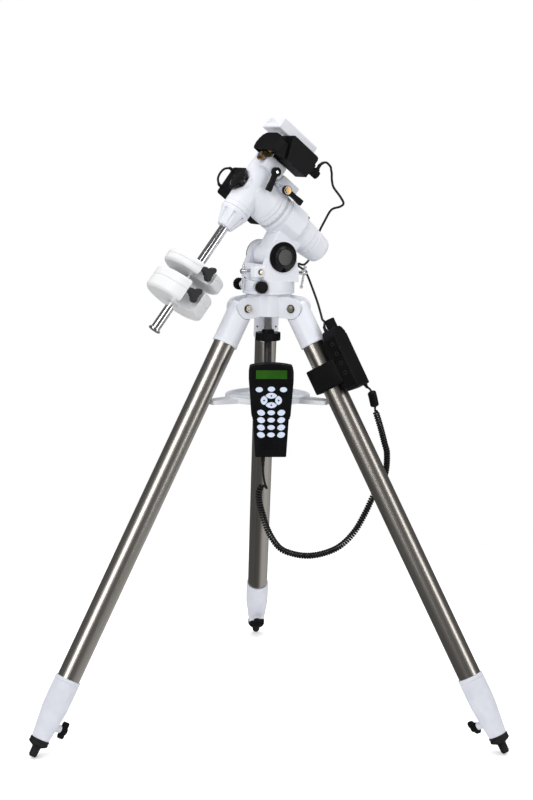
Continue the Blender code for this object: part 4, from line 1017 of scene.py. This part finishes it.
def ra_cap_solid():
    outer = [(0.0, -0.2085), (0.012, -0.2085)]
    outer += [(0.0135 + 0.0140 * sin(radians(a)), -0.1945 - 0.0140 * cos(radians(a)))
              for a in range(10, 91, 8)]
    outer += [(0.0303, -0.1740), (0.0303, -0.1725), (0.0296, -0.1718), (0.0296, -0.1708),
              (0.0305, -0.1700), (0.0313, CAP_SEAM - GAP), (0.0, CAP_SEAM - GAP)]
    return turned(eased(outer, 0.0006), "X", steps=96)


make_ra_housing()
show("polar_rear_cap", ra_cap_solid(), POLAR, WHITE, "altitude", "white_paint", "ra_cap")


# ---- turning casting, worms and levers ----
DEC_WORM_SPOT = (0.0, 0.0288, 0.058)
DEC_LEVER_SPOT = (-0.004, 0.0405, 0.0470)
RA_LEVER_SPOT = (-0.0475, 0.0355, 0.0360)


def dec_housing_solid():
    """Turning casting: declination tube, neck over the RA wheel and the two worm blocks."""
    tube = turned(eased([(0.0, BELL_TOP + GAP), (DEC_TUBE_RADIUS, BELL_TOP + GAP),
                         (DEC_TUBE_RADIUS, -0.0440), (DEC_TUBE_RADIUS - 0.0007, -0.0434),
                         (DEC_TUBE_RADIUS - 0.0007, -0.0424), (DEC_TUBE_RADIUS, -0.0418),
                         (DEC_TUBE_RADIUS, 0.0700), (DEC_TUBE_RADIUS - 0.0006, 0.0706),
                         (DEC_TUBE_RADIUS - 0.0006, 0.0716), (DEC_TUBE_RADIUS, 0.0722),
                         (DEC_TUBE_RADIUS, DEC_TOP), (0.0, DEC_TOP)], 0.0006), steps=128)
    neck = turned(eased([(0.0, RA_SEAM), (0.0390, RA_SEAM), (0.0390, -0.0500), (0.0384, -0.0494),
                         (0.0384, -0.0484), (0.0390, -0.0478), (0.0390, -0.042),
                         (0.0350, -0.020), (0.0300, 0.0), (0.0, 0.0)], 0.0012), "X", steps=128)
    face = rod(0.0255, -0.001, 0.0240, "X", steps=96, edge=0.0008)
    ra_block = block((-0.0760, -0.0270, 0.0396), (-0.0300, 0.0270, 0.0600), 0.003)
    ra_root = block((-0.0545, -0.0210, 0.0350), (-0.0335, 0.0210, 0.0420))
    dec_block = block((-0.0230, 0.0120, 0.0410), (0.0250, 0.0400, 0.0690), 0.004)
    motor_pad = block((-0.0310, -0.0325, -0.0160), (0.0160, -0.0100, 0.0310), 0.003)
    lever_boss = rod(0.0076, 0.0150, 0.0352, "Y", (RA_LEVER_SPOT[0], 0.0, RA_LEVER_SPOT[2]), 40)
    join(tube, neck, face, ra_block, ra_root, dec_block, motor_pad, lever_boss)
    for k in range(3):
        at = -0.0690 + 0.0110 * k
        cut(tube, block((at, -0.0300, 0.0590), (at + 0.0012, 0.0300, 0.0620)))
    return cut(tube, rod(0.0045, 0.0200, 0.060, "X", DEC_WORM_SPOT, 40))


def make_polar_cap():
    """Black cover of the polar bore, with a grip rim and a domed middle."""
    rim = prism(lobed_outline(0.0242, 36, 0.02, 6), 0.0323, 0.0358, "Z", 0.0005)
    rim = moved(rim, ALONG["X"])
    face = turned(eased([(0.0, 0.0240), (0.0196, 0.0240), (0.0196, 0.0340), (0.0226, 0.0350),
                         (0.0222, 0.0368), (0.0190, 0.0372), (0.0180, 0.0362), (0.0080, 0.0370),
                         (0.0, 0.0372)], 0.0005), "X", steps=96)
    show("polar_bore_cap", gathered(rim, face), POLAR, GLOSS, "ra", "gloss_black", "polar_cap")


def lever_solid(length):
    """Clutch lever with a round head, a waisted arm and a thick, square end, along -Z."""
    head = turned(eased([(0.0, 0.0), (0.0092, 0.0), (0.0092, 0.0088), (0.0, 0.0088)], 0.0010), "Y",
                  steps=56)
    arm = eased([(-0.0050, 0.0), (0.0050, 0.0), (0.0046, -length * 0.5), (0.0056, -length * 0.78),
                 (0.0060, -length), (-0.0060, -length), (-0.0056, -length * 0.78),
                 (-0.0046, -length * 0.5)], 0.0012, 3, closed=True)
    return gathered(head, prism(arm, 0.0010, 0.0080, "Y", 0.0006, 2))


def make_levers():
    """Black lever with a small bright screw on the Dec axis; a brass nut holds the RA one."""
    place = POLAR @ Matrix.Translation(DEC_LEVER_SPOT) @ Matrix.Rotation(radians(12), 4, "Y")
    body = "dec_clutch_lever"
    show("dec_lever_arm", lever_solid(0.040), place, BLACK, body, "black_plastic", body)
    screw = slotted_screw(0.0030, 0.0085, 0.0104, "Y", (0.0, 0.0, 0.0))
    show("dec_lever_screw", screw, place, CHROME, body, "machined_steel")
    place = POLAR @ Matrix.Translation(RA_LEVER_SPOT) @ Matrix.Rotation(pi / 2, 4, "Y")
    body = "ra_clutch_lever"
    show("ra_lever_arm", lever_solid(0.042), place, BLACK, body, "black_plastic", body)
    nut = lobed_knob(0.0060, 0.0082, 0.0116, "Y", (0.0, 0.0, 0.0), 14, 0.08, 0.0006)
    show("ra_lever_nut", nut, place, BRASS, body, "brass")
    washer = rod(0.0080, 0.0080, 0.0090, "Y", steps=48, edge=0.0003)
    show("ra_lever_washer", washer, place, STEEL, body, "machined_steel")


def toothed(radius, low, high, axis, centre, teeth):
    """Spur gear: trapezoid teeth round a disc."""
    outline = []
    for k in range(teeth):
        for share, depth in ((0.0, 1.0), (0.22, 1.0), (0.38, 0.0), (0.62, 0.0), (0.84, 1.0)):
            reach = radius - 0.0013 * (1.0 - depth)
            angle = 2 * pi * (k + share) / teeth
            outline.append((reach * cos(angle), reach * sin(angle)))
    return moved(prism(outline, low, high, "Z", 0.0002), Matrix.Translation(centre) @ ALONG[axis])


def make_dec_drive_gear():
    place = POLAR @ Matrix.Translation(DEC_WORM_SPOT)
    gear = toothed(0.0112, 0.0318, 0.0362, "X", (0.0, 0.0, 0.0), 24)
    show("dec_drive_gear", gear, place, BRASS, "dec_worm", "brass", "dec_worm")
    stem = rod(0.0035, -0.0210, 0.0400, "X", steps=32, edge=0.0004)
    boss = rod(0.0062, 0.0362, 0.0394, "X", steps=40, edge=0.0005)
    show("dec_worm_stem", gathered(stem, boss), place, STEEL, "dec_worm", "machined_steel")


show("turning_casting", dec_housing_solid(), POLAR, WHITE, "ra", "white_paint", "dec_housing",
     "ra_shaft")
ring = [(DEC_TUBE_RADIUS, 0.0726), (0.0302, 0.0726), (0.0302, 0.0774), (DEC_TUBE_RADIUS, 0.0774)]
show("dec_steel_ring", turned(eased(ring, 0.0004, closed=True), steps=128), POLAR, STEEL, "ra",
     "machined_steel")
make_polar_cap()
make_levers()
make_dec_drive_gear()


# ---- declination axis ----
def bell_solid():
    """Fluted white cone that carries the counterweight bar."""
    cone = turned(eased([(0.0, BELL_BOTTOM), (0.0150, BELL_BOTTOM), (0.0168, BELL_BOTTOM + 0.002),
                         (DEC_TUBE_RADIUS - 0.001, BELL_TOP - 0.008),
                         (DEC_TUBE_RADIUS, BELL_TOP - 0.004), (DEC_TUBE_RADIUS, BELL_TOP),
                         (0.0, BELL_TOP)], 0.0010), steps=96)
    lean = Matrix.Rotation(radians(14), 4, "Y")
    for k in range(8):
        flute = rod(0.0036, -0.040, 0.012, "Z", steps=28)
        out = Matrix.Translation((0.0245, 0.0, (BELL_TOP + BELL_BOTTOM) / 2)) @ lean
        cut(cone, moved(flute, Matrix.Rotation(2 * pi * (k + 0.5) / 8, 4, "Z") @ out))
    return cut(cone, rod(BAR_RADIUS + GAP, BELL_BOTTOM - 0.01, BELL_TOP - 0.006, steps=48))


def knob_height(low, high):
    return low + 0.62 * (high - low)


def weight_solid(low, high):
    """Round weight with eased rims, a rim groove and a notch for its locking knob."""
    edge = 0.004
    groove = high - 0.44 * (high - low)
    profile = [(BAR_RADIUS + GAP, low), (WEIGHT_RADIUS - edge, low), (WEIGHT_RADIUS, low + edge),
               (WEIGHT_RADIUS, groove - 0.0009), (WEIGHT_RADIUS - 0.0012, groove - 0.0003),
               (WEIGHT_RADIUS - 0.0012, groove + 0.0003), (WEIGHT_RADIUS, groove + 0.0009),
               (WEIGHT_RADIUS, high - edge), (WEIGHT_RADIUS - edge, high),
               (0.0180, high), (0.0172, high - 0.0006), (0.0160, high - 0.0006),
               (0.0152, high), (BAR_RADIUS + GAP, high)]
    disc = turned(eased(profile, 0.0024, 4, closed=True), steps=128)
    half = NOTCH / 2
    outline = [(half, 0.090)] + arc((0.0, 0.046), half, 0, -180, 28) + [(-half, 0.090)]
    return cut(disc, prism(outline, low - 0.01, high + 0.01, "Z"))


def make_weight(name, low, high):
    body = f"weight_{name}"
    show(f"{name}_counterweight", weight_solid(low, high), POLAR, WEIGHT, body, "white_paint", body)
    place = POLAR @ Matrix.Translation((0.0, 0.0, knob_height(low, high)))
    knob = lobed_knob(0.0170, 0.0505, 0.0635, "Y", (0.0, 0.0, 0.0), 3, 0.56, 0.0022)
    hub = rod(0.0070, 0.0470, 0.0505, "Y", steps=40, edge=0.0005)
    knob_body = f"weight_knob_{name}"
    show(f"{name}_weight_knob", gathered(knob, hub), place, CHARCOAL, knob_body, "black_plastic",
         knob_body)
    show(f"{name}_weight_stem", threaded_rod(0.0038, BAR_RADIUS + GAP, 0.0480, 0.0011, 0.0003, "Y", 32),
         place, CHROME, knob_body, "machined_steel")


def saddle_solid():
    """Dovetail saddle on its round stem, with a slot along X for the telescope's bar."""
    low = SADDLE_BOTTOM
    stem = turned(eased([(0.0, DEC_TOP + GAP), (0.0265, DEC_TOP + GAP), (0.0265, 0.084),
                         (0.0230, 0.090), (0.0230, low + 0.002), (0.0, low + 0.002)], 0.0008),
                  steps=96)
    plate = block((-0.0550, -0.0330, low), (0.0400, 0.0330, SADDLE_TOP), 0.003, 4)
    join(stem, plate)
    mouth, floor, seat, depth = 0.0190, 0.0235, 0.0183, SADDLE_TOP - 0.013
    slot = [(-floor, depth - 0.001), (-seat, depth - 0.001), (-seat, depth), (seat, depth),
            (seat, depth - 0.001), (floor, depth - 0.001), (mouth, SADDLE_TOP + 0.001),
            (-mouth, SADDLE_TOP + 0.001)]
    cut(stem, prism(slot, -0.08, 0.08, "X"))
    return cut(stem, rod(0.004 + GAP, -0.050, -0.015, "Y", (-0.020, 0.0, 0.1390), 32))


def make_dec_axis():
    show("bar_bell", bell_solid(), POLAR, WHITE, "dec", "white_paint", "shaft_bell", "dec_shaft")
    bar = [(0.0, BAR_END), (0.0122, BAR_END), (0.0122, BAR_END + 0.004),
           (BAR_RADIUS, BAR_END + 0.004), (BAR_RADIUS, BELL_TOP - 0.008), (0.0, BELL_TOP - 0.008)]
    show("weight_bar", turned(eased(bar, 0.0008), steps=96), POLAR, CHROME, "dec", "chrome",
         "counterweight_bar")
    for name, (low, high) in WEIGHTS.items():
        make_weight(name, low, high)
    show("dovetail_saddle", saddle_solid(), POLAR, WHITE, "dec", "white_paint", "saddle",
         "dec_worm_wheel")
    place = POLAR @ Matrix.Translation((-0.020, 0.0, 0.1390))
    knob = lobed_knob(0.0110, -0.0550, -0.0400, "Y", (0.0, 0.0, 0.0), 14, 0.08, 0.0012)
    show("saddle_knob", knob, place, BLACK, "saddle_screw", "black_plastic", "saddle_screw")
    show("saddle_stem", threaded_rod(0.0040, -0.0410, -0.0240, 0.0010, 0.0003, "Y", 32), place,
         STEEL, "saddle_screw", "machined_steel")


make_dec_axis()


# ---- drive housings ----
def dec_motor_solid():
    """Moulded motor housing with chamfered long edges and a bridge to the gear cover."""
    outline = [(-0.0500, 0.0700), (0.0040, 0.0700), (0.0060, 0.0725), (0.0224, 0.1140),
               (0.0205, 0.1170), (-0.0460, 0.1170), (-0.0500, 0.1130)]
    case = prism(eased(outline, 0.0016, 3, closed=True), 0.0330, 0.0750, "Y", 0.0022, 3)
    bridge = block((0.0050, 0.0370, 0.0720), (0.0292, 0.0680, 0.0980), 0.0012)
    return join(case, bridge)


def make_dec_motor():
    show("dec_motor_case", dec_motor_solid(), POLAR, BLACK, "ra", "black_plastic",
         "dec_motor_cover")
    socket = block((-0.0600, 0.0400, 0.0850), (-0.0480, 0.0610, 0.1070), 0.0016)
    plug = lobed_knob(0.0085, -0.0790, -0.0640, "X", (0.0, 0.0500, 0.0965), 14, 0.08, 0.0010)
    collar = rod(0.0090, -0.0650, -0.0595, "X", (0.0, 0.0500, 0.0965), 40, 0.0006)
    boss = turned(eased([(0.0, 0.0950), (0.0058, 0.0950), (0.0050, 0.1075), (0.0, 0.1075)],
                        0.0008), "Z", (-0.0720, 0.0500, 0.0), 32)
    show("dec_motor_plug", gathered(socket, plug, collar, boss), POLAR, BLACK, "ra",
         "black_plastic")


def make_gear_cover():
    outline = eased([(-0.0060, 0.0680), (0.0740, 0.0640), (0.0750, 0.0990), (0.0500, 0.1060),
                     (0.0030, 0.1060), (-0.0100, 0.0890)], 0.006, 5, closed=True)
    cover = prism(outline, 0.0295, 0.0430, "X", 0.0016, 3)
    inside = block((0.0310, -0.0030, 0.0500), (0.0410, 0.0710, 0.0960))
    cut(cover, inside)
    show("gear_train_cover", cover, POLAR, BLACK, "ra", "black_plastic", "dec_gear_cover")
    idler = toothed(0.0110, 0.0325, 0.0380, "X", (0.0, 0.0525, 0.0760), 22)
    axle = rod(0.0030, 0.0300, 0.0400, "X", (0.0, 0.0525, 0.0760), 24, 0.0003)
    plate = block((0.0298, 0.0050, 0.0560), (0.0306, 0.0640, 0.0900), 0.0002)
    show("idler_gear", gathered(idler), POLAR, BRASS, "ra", "brass")
    show("gear_plate", gathered(plate, axle), POLAR, STEEL, "ra", "machined_steel")


def make_ra_motor():
    """RA drive housing on the far side, with a seam, vents and two cable glands."""
    box = block((-0.0840, -0.0860, -0.0280), (-0.0100, -0.0410, 0.0300), 0.005, 4)
    gears = block((-0.0140, -0.0860, -0.0250), (0.0200, -0.0340, 0.0390), 0.005, 4)
    seam = block((-0.0700, -0.0640, -0.0284), (-0.0150, -0.0632, 0.0304), 0.0002)
    vents = [block((-0.0700 + 0.008 * k, -0.0863, -0.0150), (-0.0670 + 0.008 * k, -0.0850, 0.0150))
             for k in range(6)]
    case = join(box, gears)
    cut(case, *vents)
    cover = turned(eased([(0.0, 0.0), (0.0190, 0.0), (0.0190, 0.0012), (0.0160, 0.0024),
                          (0.0, 0.0024)], 0.0008), steps=72)
    cover = moved(cover, Matrix.Translation((0.0186, -0.0600, 0.0090)) @ ALONG["X"])
    show("ra_motor_case", gathered(case, seam, cover), POLAR, BLACK, "ra", "black_plastic",
         "ra_motor_cover")


make_dec_motor()
make_gear_cover()
make_ra_motor()


# ---- control box and hand control ----
def make_control_box():
    """Drive box with a chamfered top end, held on the leg tube by a wide clamp."""
    place = LEGS["right"]
    outline = [(-0.0240, -0.1950), (0.0270, -0.1950), (0.0270, -0.0850), (0.0160, -0.0700),
               (-0.0130, -0.0700), (-0.0240, -0.0850)]
    box = prism(eased(outline, 0.0030, 3, closed=True), 0.0340, 0.0630, "X", 0.0028, 3)
    clamp = block((-0.0280, -0.0285, -0.1750), (0.0375, 0.0285, -0.1250), 0.003, 4)
    web = block((0.0255, -0.0190, -0.1850), (0.0390, 0.0190, -0.0900), 0.001)
    bore = rod(TUBE_RADIUS + GAP, -0.20, -0.06, steps=64)
    show("control_case", cut(join(box, clamp, web), bore), place, BLACK, "tripod",
         "black_plastic", "control_box")
    knob = lobed_knob(0.0105, -0.0700, -0.0500, "Z", (0.0480, 0.0110, 0.0), 18, 0.06, 0.0012)
    show("control_box_knob", knob, place, BLACK, "tripod", "black_plastic")
    panel = block((0.0385, -0.0246, -0.1880), (0.0600, -0.0236, -0.0880), 0.0003)
    show("control_panel", panel, place, GLOSS, "tripod", "gloss_black")
    sockets = [turned(eased([(0.0026, -0.0250), (0.0042, -0.0250), (0.0042, -0.0238),
                             (0.0026, -0.0238)], 0.0002, closed=True), "Y",
                      (0.0490, 0.0, -0.1000 - 0.020 * k), 32) for k in range(4)]
    show("control_sockets", gathered(*sockets), place, RUBBER, "tripod", "black_rubber")
    screw = slotted_screw(0.0036, 0.0374, 0.0394, "X", (0.0, 0.0230, -0.1350))
    show("clamp_screw", screw, place, DARK_STEEL, "tripod", "machined_steel")


HANDSET = TRIPOD @ Matrix.Translation((0.0020, -0.1080, 0.5540))
HALF_TOP, HALF_MID, HALF_LOW = 0.0430, 0.0375, 0.0300


def handset_outline(inset=0.0):
    """Outline of the hand control in x and z: narrow grip, wide display end, arched top."""
    top = [(x, z) for x, z in arc((0.0, 0.0), 0.1825 - inset, 77, 103, 20)]
    half = [(HALF_LOW - inset, inset), (HALF_MID - 0.003 - inset, 0.077), (HALF_MID - inset, 0.079),
            (HALF_TOP - inset, 0.150), (HALF_TOP - inset, 0.1665)]
    return half + top + [(-x, z) for x, z in reversed(half)]


def leaf(width, height, steps=10):
    """Outline of two arcs that meet in blunt points at its left and right."""
    bow = (width ** 2 - height ** 2) / (2 * height)
    radius = height + bow
    reach = 90 - atan2(bow, width) * 180 / pi
    top = arc((0.0, -bow), radius, 90 - reach, 90 + reach, steps)
    return eased(top + [(x, -z) for x, z in reversed(top)][1:-1], 0.0008, 2, closed=True)


def oval(width, height, steps=28):
    return [(width * cos(2 * pi * k / steps), height * sin(2 * pi * k / steps)) for k in range(steps)]


def key(outline, x, z, turn=0.0, low=-0.0174, high=-0.0135):
    """One key cap that stands through the face, at x and z of the hand control."""
    cap = prism(outline, low, high, "Y", 0.0008, 3)
    return moved(cap, Matrix.Translation((x, 0.0, z)) @ Matrix.Rotation(radians(turn), 4, "Y"))


def make_handset():
    case = prism(eased(handset_outline(), 0.0022, 3, closed=True), -0.0150, 0.0150, "Y", 0.0030, 4)
    bed = prism(eased([(-0.0315, 0.0380), (0.0315, 0.0380), (0.0315, 0.1415), (-0.0315, 0.1415)],
                      0.003, 4, closed=True), -0.020, -0.0142)
    cut(case, bed)
    rib = block((-0.0290, -0.0156, 0.0180), (0.0290, -0.0144, 0.0188), 0.0003)
    show("handset_case", gathered(case, rib), HANDSET, BLACK, "tripod", "black_plastic", "handset")
    window = prism(eased([(-0.0360, 0.1442), (0.0360, 0.1442), (0.0360, 0.1745), (-0.0360, 0.1745)],
                         0.002, 4, closed=True), -0.0158, -0.0146, "Y", 0.0004)
    show("display_window", window, HANDSET, GLOSS, "tripod", "gloss_black")
    screen = block((-0.0300, -0.0160, 0.1539), (0.0300, -0.0152, 0.1706), 0.0001)
    show("display", screen, HANDSET, LCD, "tripod", "gloss_black")
    arrows = [(0.0, 0.1212, 0.0113, 0.0056, 0), (0.0, 0.1028, 0.0113, 0.0056, 0),
              (-0.0140, 0.1120, 0.0088, 0.0065, 90), (0.0140, 0.1120, 0.0088, 0.0065, 90)]
    keys = [key(leaf(width, height), x, z, turn) for x, z, width, height, turn in arrows]
    keys += [key(oval(0.0071, 0.0048), 0.0234 * column, 0.1330 + (0.001 if column == 0 else 0.0))
             for column in (-1, 0, 1)]
    for row in range(4):
        for column in (-1, 0, 1):
            shape = leaf(0.0080, 0.0056) if column else oval(0.0073, 0.0046)
            keys.append(key(shape, 0.0195 * column, 0.0880 - 0.0145 * row, -14 * column))
    show("handset_keys", gathered(*keys), HANDSET, KEYS, "keypad", "key_rubber", "keypad")
    dots = [rod(0.0017, -0.01755, -0.0170, "Y", (x, 0.0, z), 20) for x, z, *_ in arrows]
    show("key_dots", gathered(*dots), HANDSET, INK, "keypad", "key_rubber")
    bed_plate = block((-0.0312, -0.0143, 0.0383), (0.0312, -0.0138, 0.1412))
    show("key_bed", bed_plate, HANDSET, BLACK, "keypad", "key_rubber")


make_control_box()
make_handset()


# ---- inner pieces keep their CAD shape ----
for name, look in (("ra_worm_wheel", BRASS), ("ra_worm", STEEL)):
    inner = frame["nodes"][name]
    inner.data.materials.clear()
    inner.data.materials.append(look)


# ---- floor and light ----
def make_floor(radius=6.0):
    floor = rod(radius, -0.004, -0.0005, steps=96)
    floor.name = "floor"
    look = bpy.data.materials.new("studio_floor")
    look.use_nodes = True
    tree = look.node_tree
    shader = tree.nodes["Principled BSDF"]
    shader.inputs["Roughness"].default_value = 0.75
    shader.inputs["Specular IOR Level"].default_value = 0.2
    shader.inputs["Emission Color"].default_value = (1.0, 1.0, 1.0, 1.0)
    shader.inputs["Emission Strength"].default_value = 0.22
    place = coordinates(tree, "Object", (1.0, 1.0, 1.0))
    paper = noise(tree, place, 2.0, 3.0)
    tree.links.new(mixed(tree, ranged(tree, paper, 0.0, 1.0), (0.93, 0.93, 0.93), (0.91, 0.91, 0.915)),
                   shader.inputs["Base Color"])
    tree.links.new(bumped(tree, noise(tree, place, 600.0), 0.00002), shader.inputs["Normal"])
    length = node(tree, "ShaderNodeVectorMath", operation="LENGTH")
    tree.links.new(place, length.inputs[0])
    fade = ranged(tree, length.outputs["Value"], 1.0, 0.0, 0.60, 1.40)
    tree.links.new(fade, shader.inputs["Alpha"])
    floor.data.materials.append(look)
    floor.visible_glossy = False


def make_world():
    """White to the camera, soft light from above and behind, mostly dark in reflections."""
    world = bpy.data.worlds.new("studio")
    bpy.context.scene.world = world
    world.use_nodes = True
    tree = world.node_tree
    back = tree.nodes["Background"]
    where = node(tree, "ShaderNodeTexCoord")
    split = node(tree, "ShaderNodeSeparateXYZ")
    tree.links.new(where.outputs["Generated"], split.inputs[0])
    behind = ranged(tree, split.outputs["Y"], 0.34, 0.85, -0.55, 0.45)
    above = ranged(tree, split.outputs["Z"], 0.0, 1.05, -0.1, 0.9)
    total = node(tree, "ShaderNodeMath", operation="MAXIMUM")
    tree.links.new(behind, total.inputs[0])
    tree.links.new(above, total.inputs[1])
    low = ranged(tree, split.outputs["Z"], 1.0, 0.0, -0.55, -0.15)
    side = ranged(tree, split.outputs["X"], 0.12, 0.70, 0.10, 0.55)
    mirrored = node(tree, "ShaderNodeMix")
    tree.links.new(low, mirrored.inputs[0])
    tree.links.new(ranged(tree, split.outputs["Z"], 0.12, 1.0, 0.84, 0.98), mirrored.inputs[2])
    tree.links.new(side, mirrored.inputs[3])
    path = node(tree, "ShaderNodeLightPath")
    by_kind = node(tree, "ShaderNodeMix")
    tree.links.new(path.outputs["Is Glossy Ray"], by_kind.inputs[0])
    tree.links.new(total.outputs[0], by_kind.inputs[2])
    tree.links.new(mirrored.outputs[0], by_kind.inputs[3])
    strength = node(tree, "ShaderNodeMix")
    tree.links.new(path.outputs["Is Camera Ray"], strength.inputs[0])
    tree.links.new(by_kind.outputs[0], strength.inputs[2])
    strength.inputs[3].default_value = 1.0
    tree.links.new(strength.outputs[0], back.inputs["Strength"])
    back.inputs["Color"].default_value = (1.0, 1.0, 1.0, 1.0)


def area_light(name, spot, target, width, height, watts):
    data = bpy.data.lights.new(name, "AREA")
    data.shape = "RECTANGLE"
    data.size = width
    data.size_y = height
    data.energy = watts
    lamp = bpy.data.objects.new(name, data)
    lamp.location = spot
    lamp.rotation_euler = (Vector(target) - Vector(spot)).to_track_quat("-Z", "Y").to_euler()
    bpy.context.scene.collection.objects.link(lamp)


make_floor()
make_world()
area_light("key_softbox", (-1.7, -2.7, 2.1), (0.0, 0.0, 0.6), 1.5, 2.8, 58.0)
area_light("fill_softbox", (2.4, -2.1, 1.5), (0.0, 0.0, 0.6), 0.9, 2.8, 26.0)
area_light("top_softbox", (0.2, 0.4, 3.2), (0.0, 0.0, 0.8), 2.2, 2.2, 36.0)
bpy.context.scene.view_settings.view_transform = "Standard"
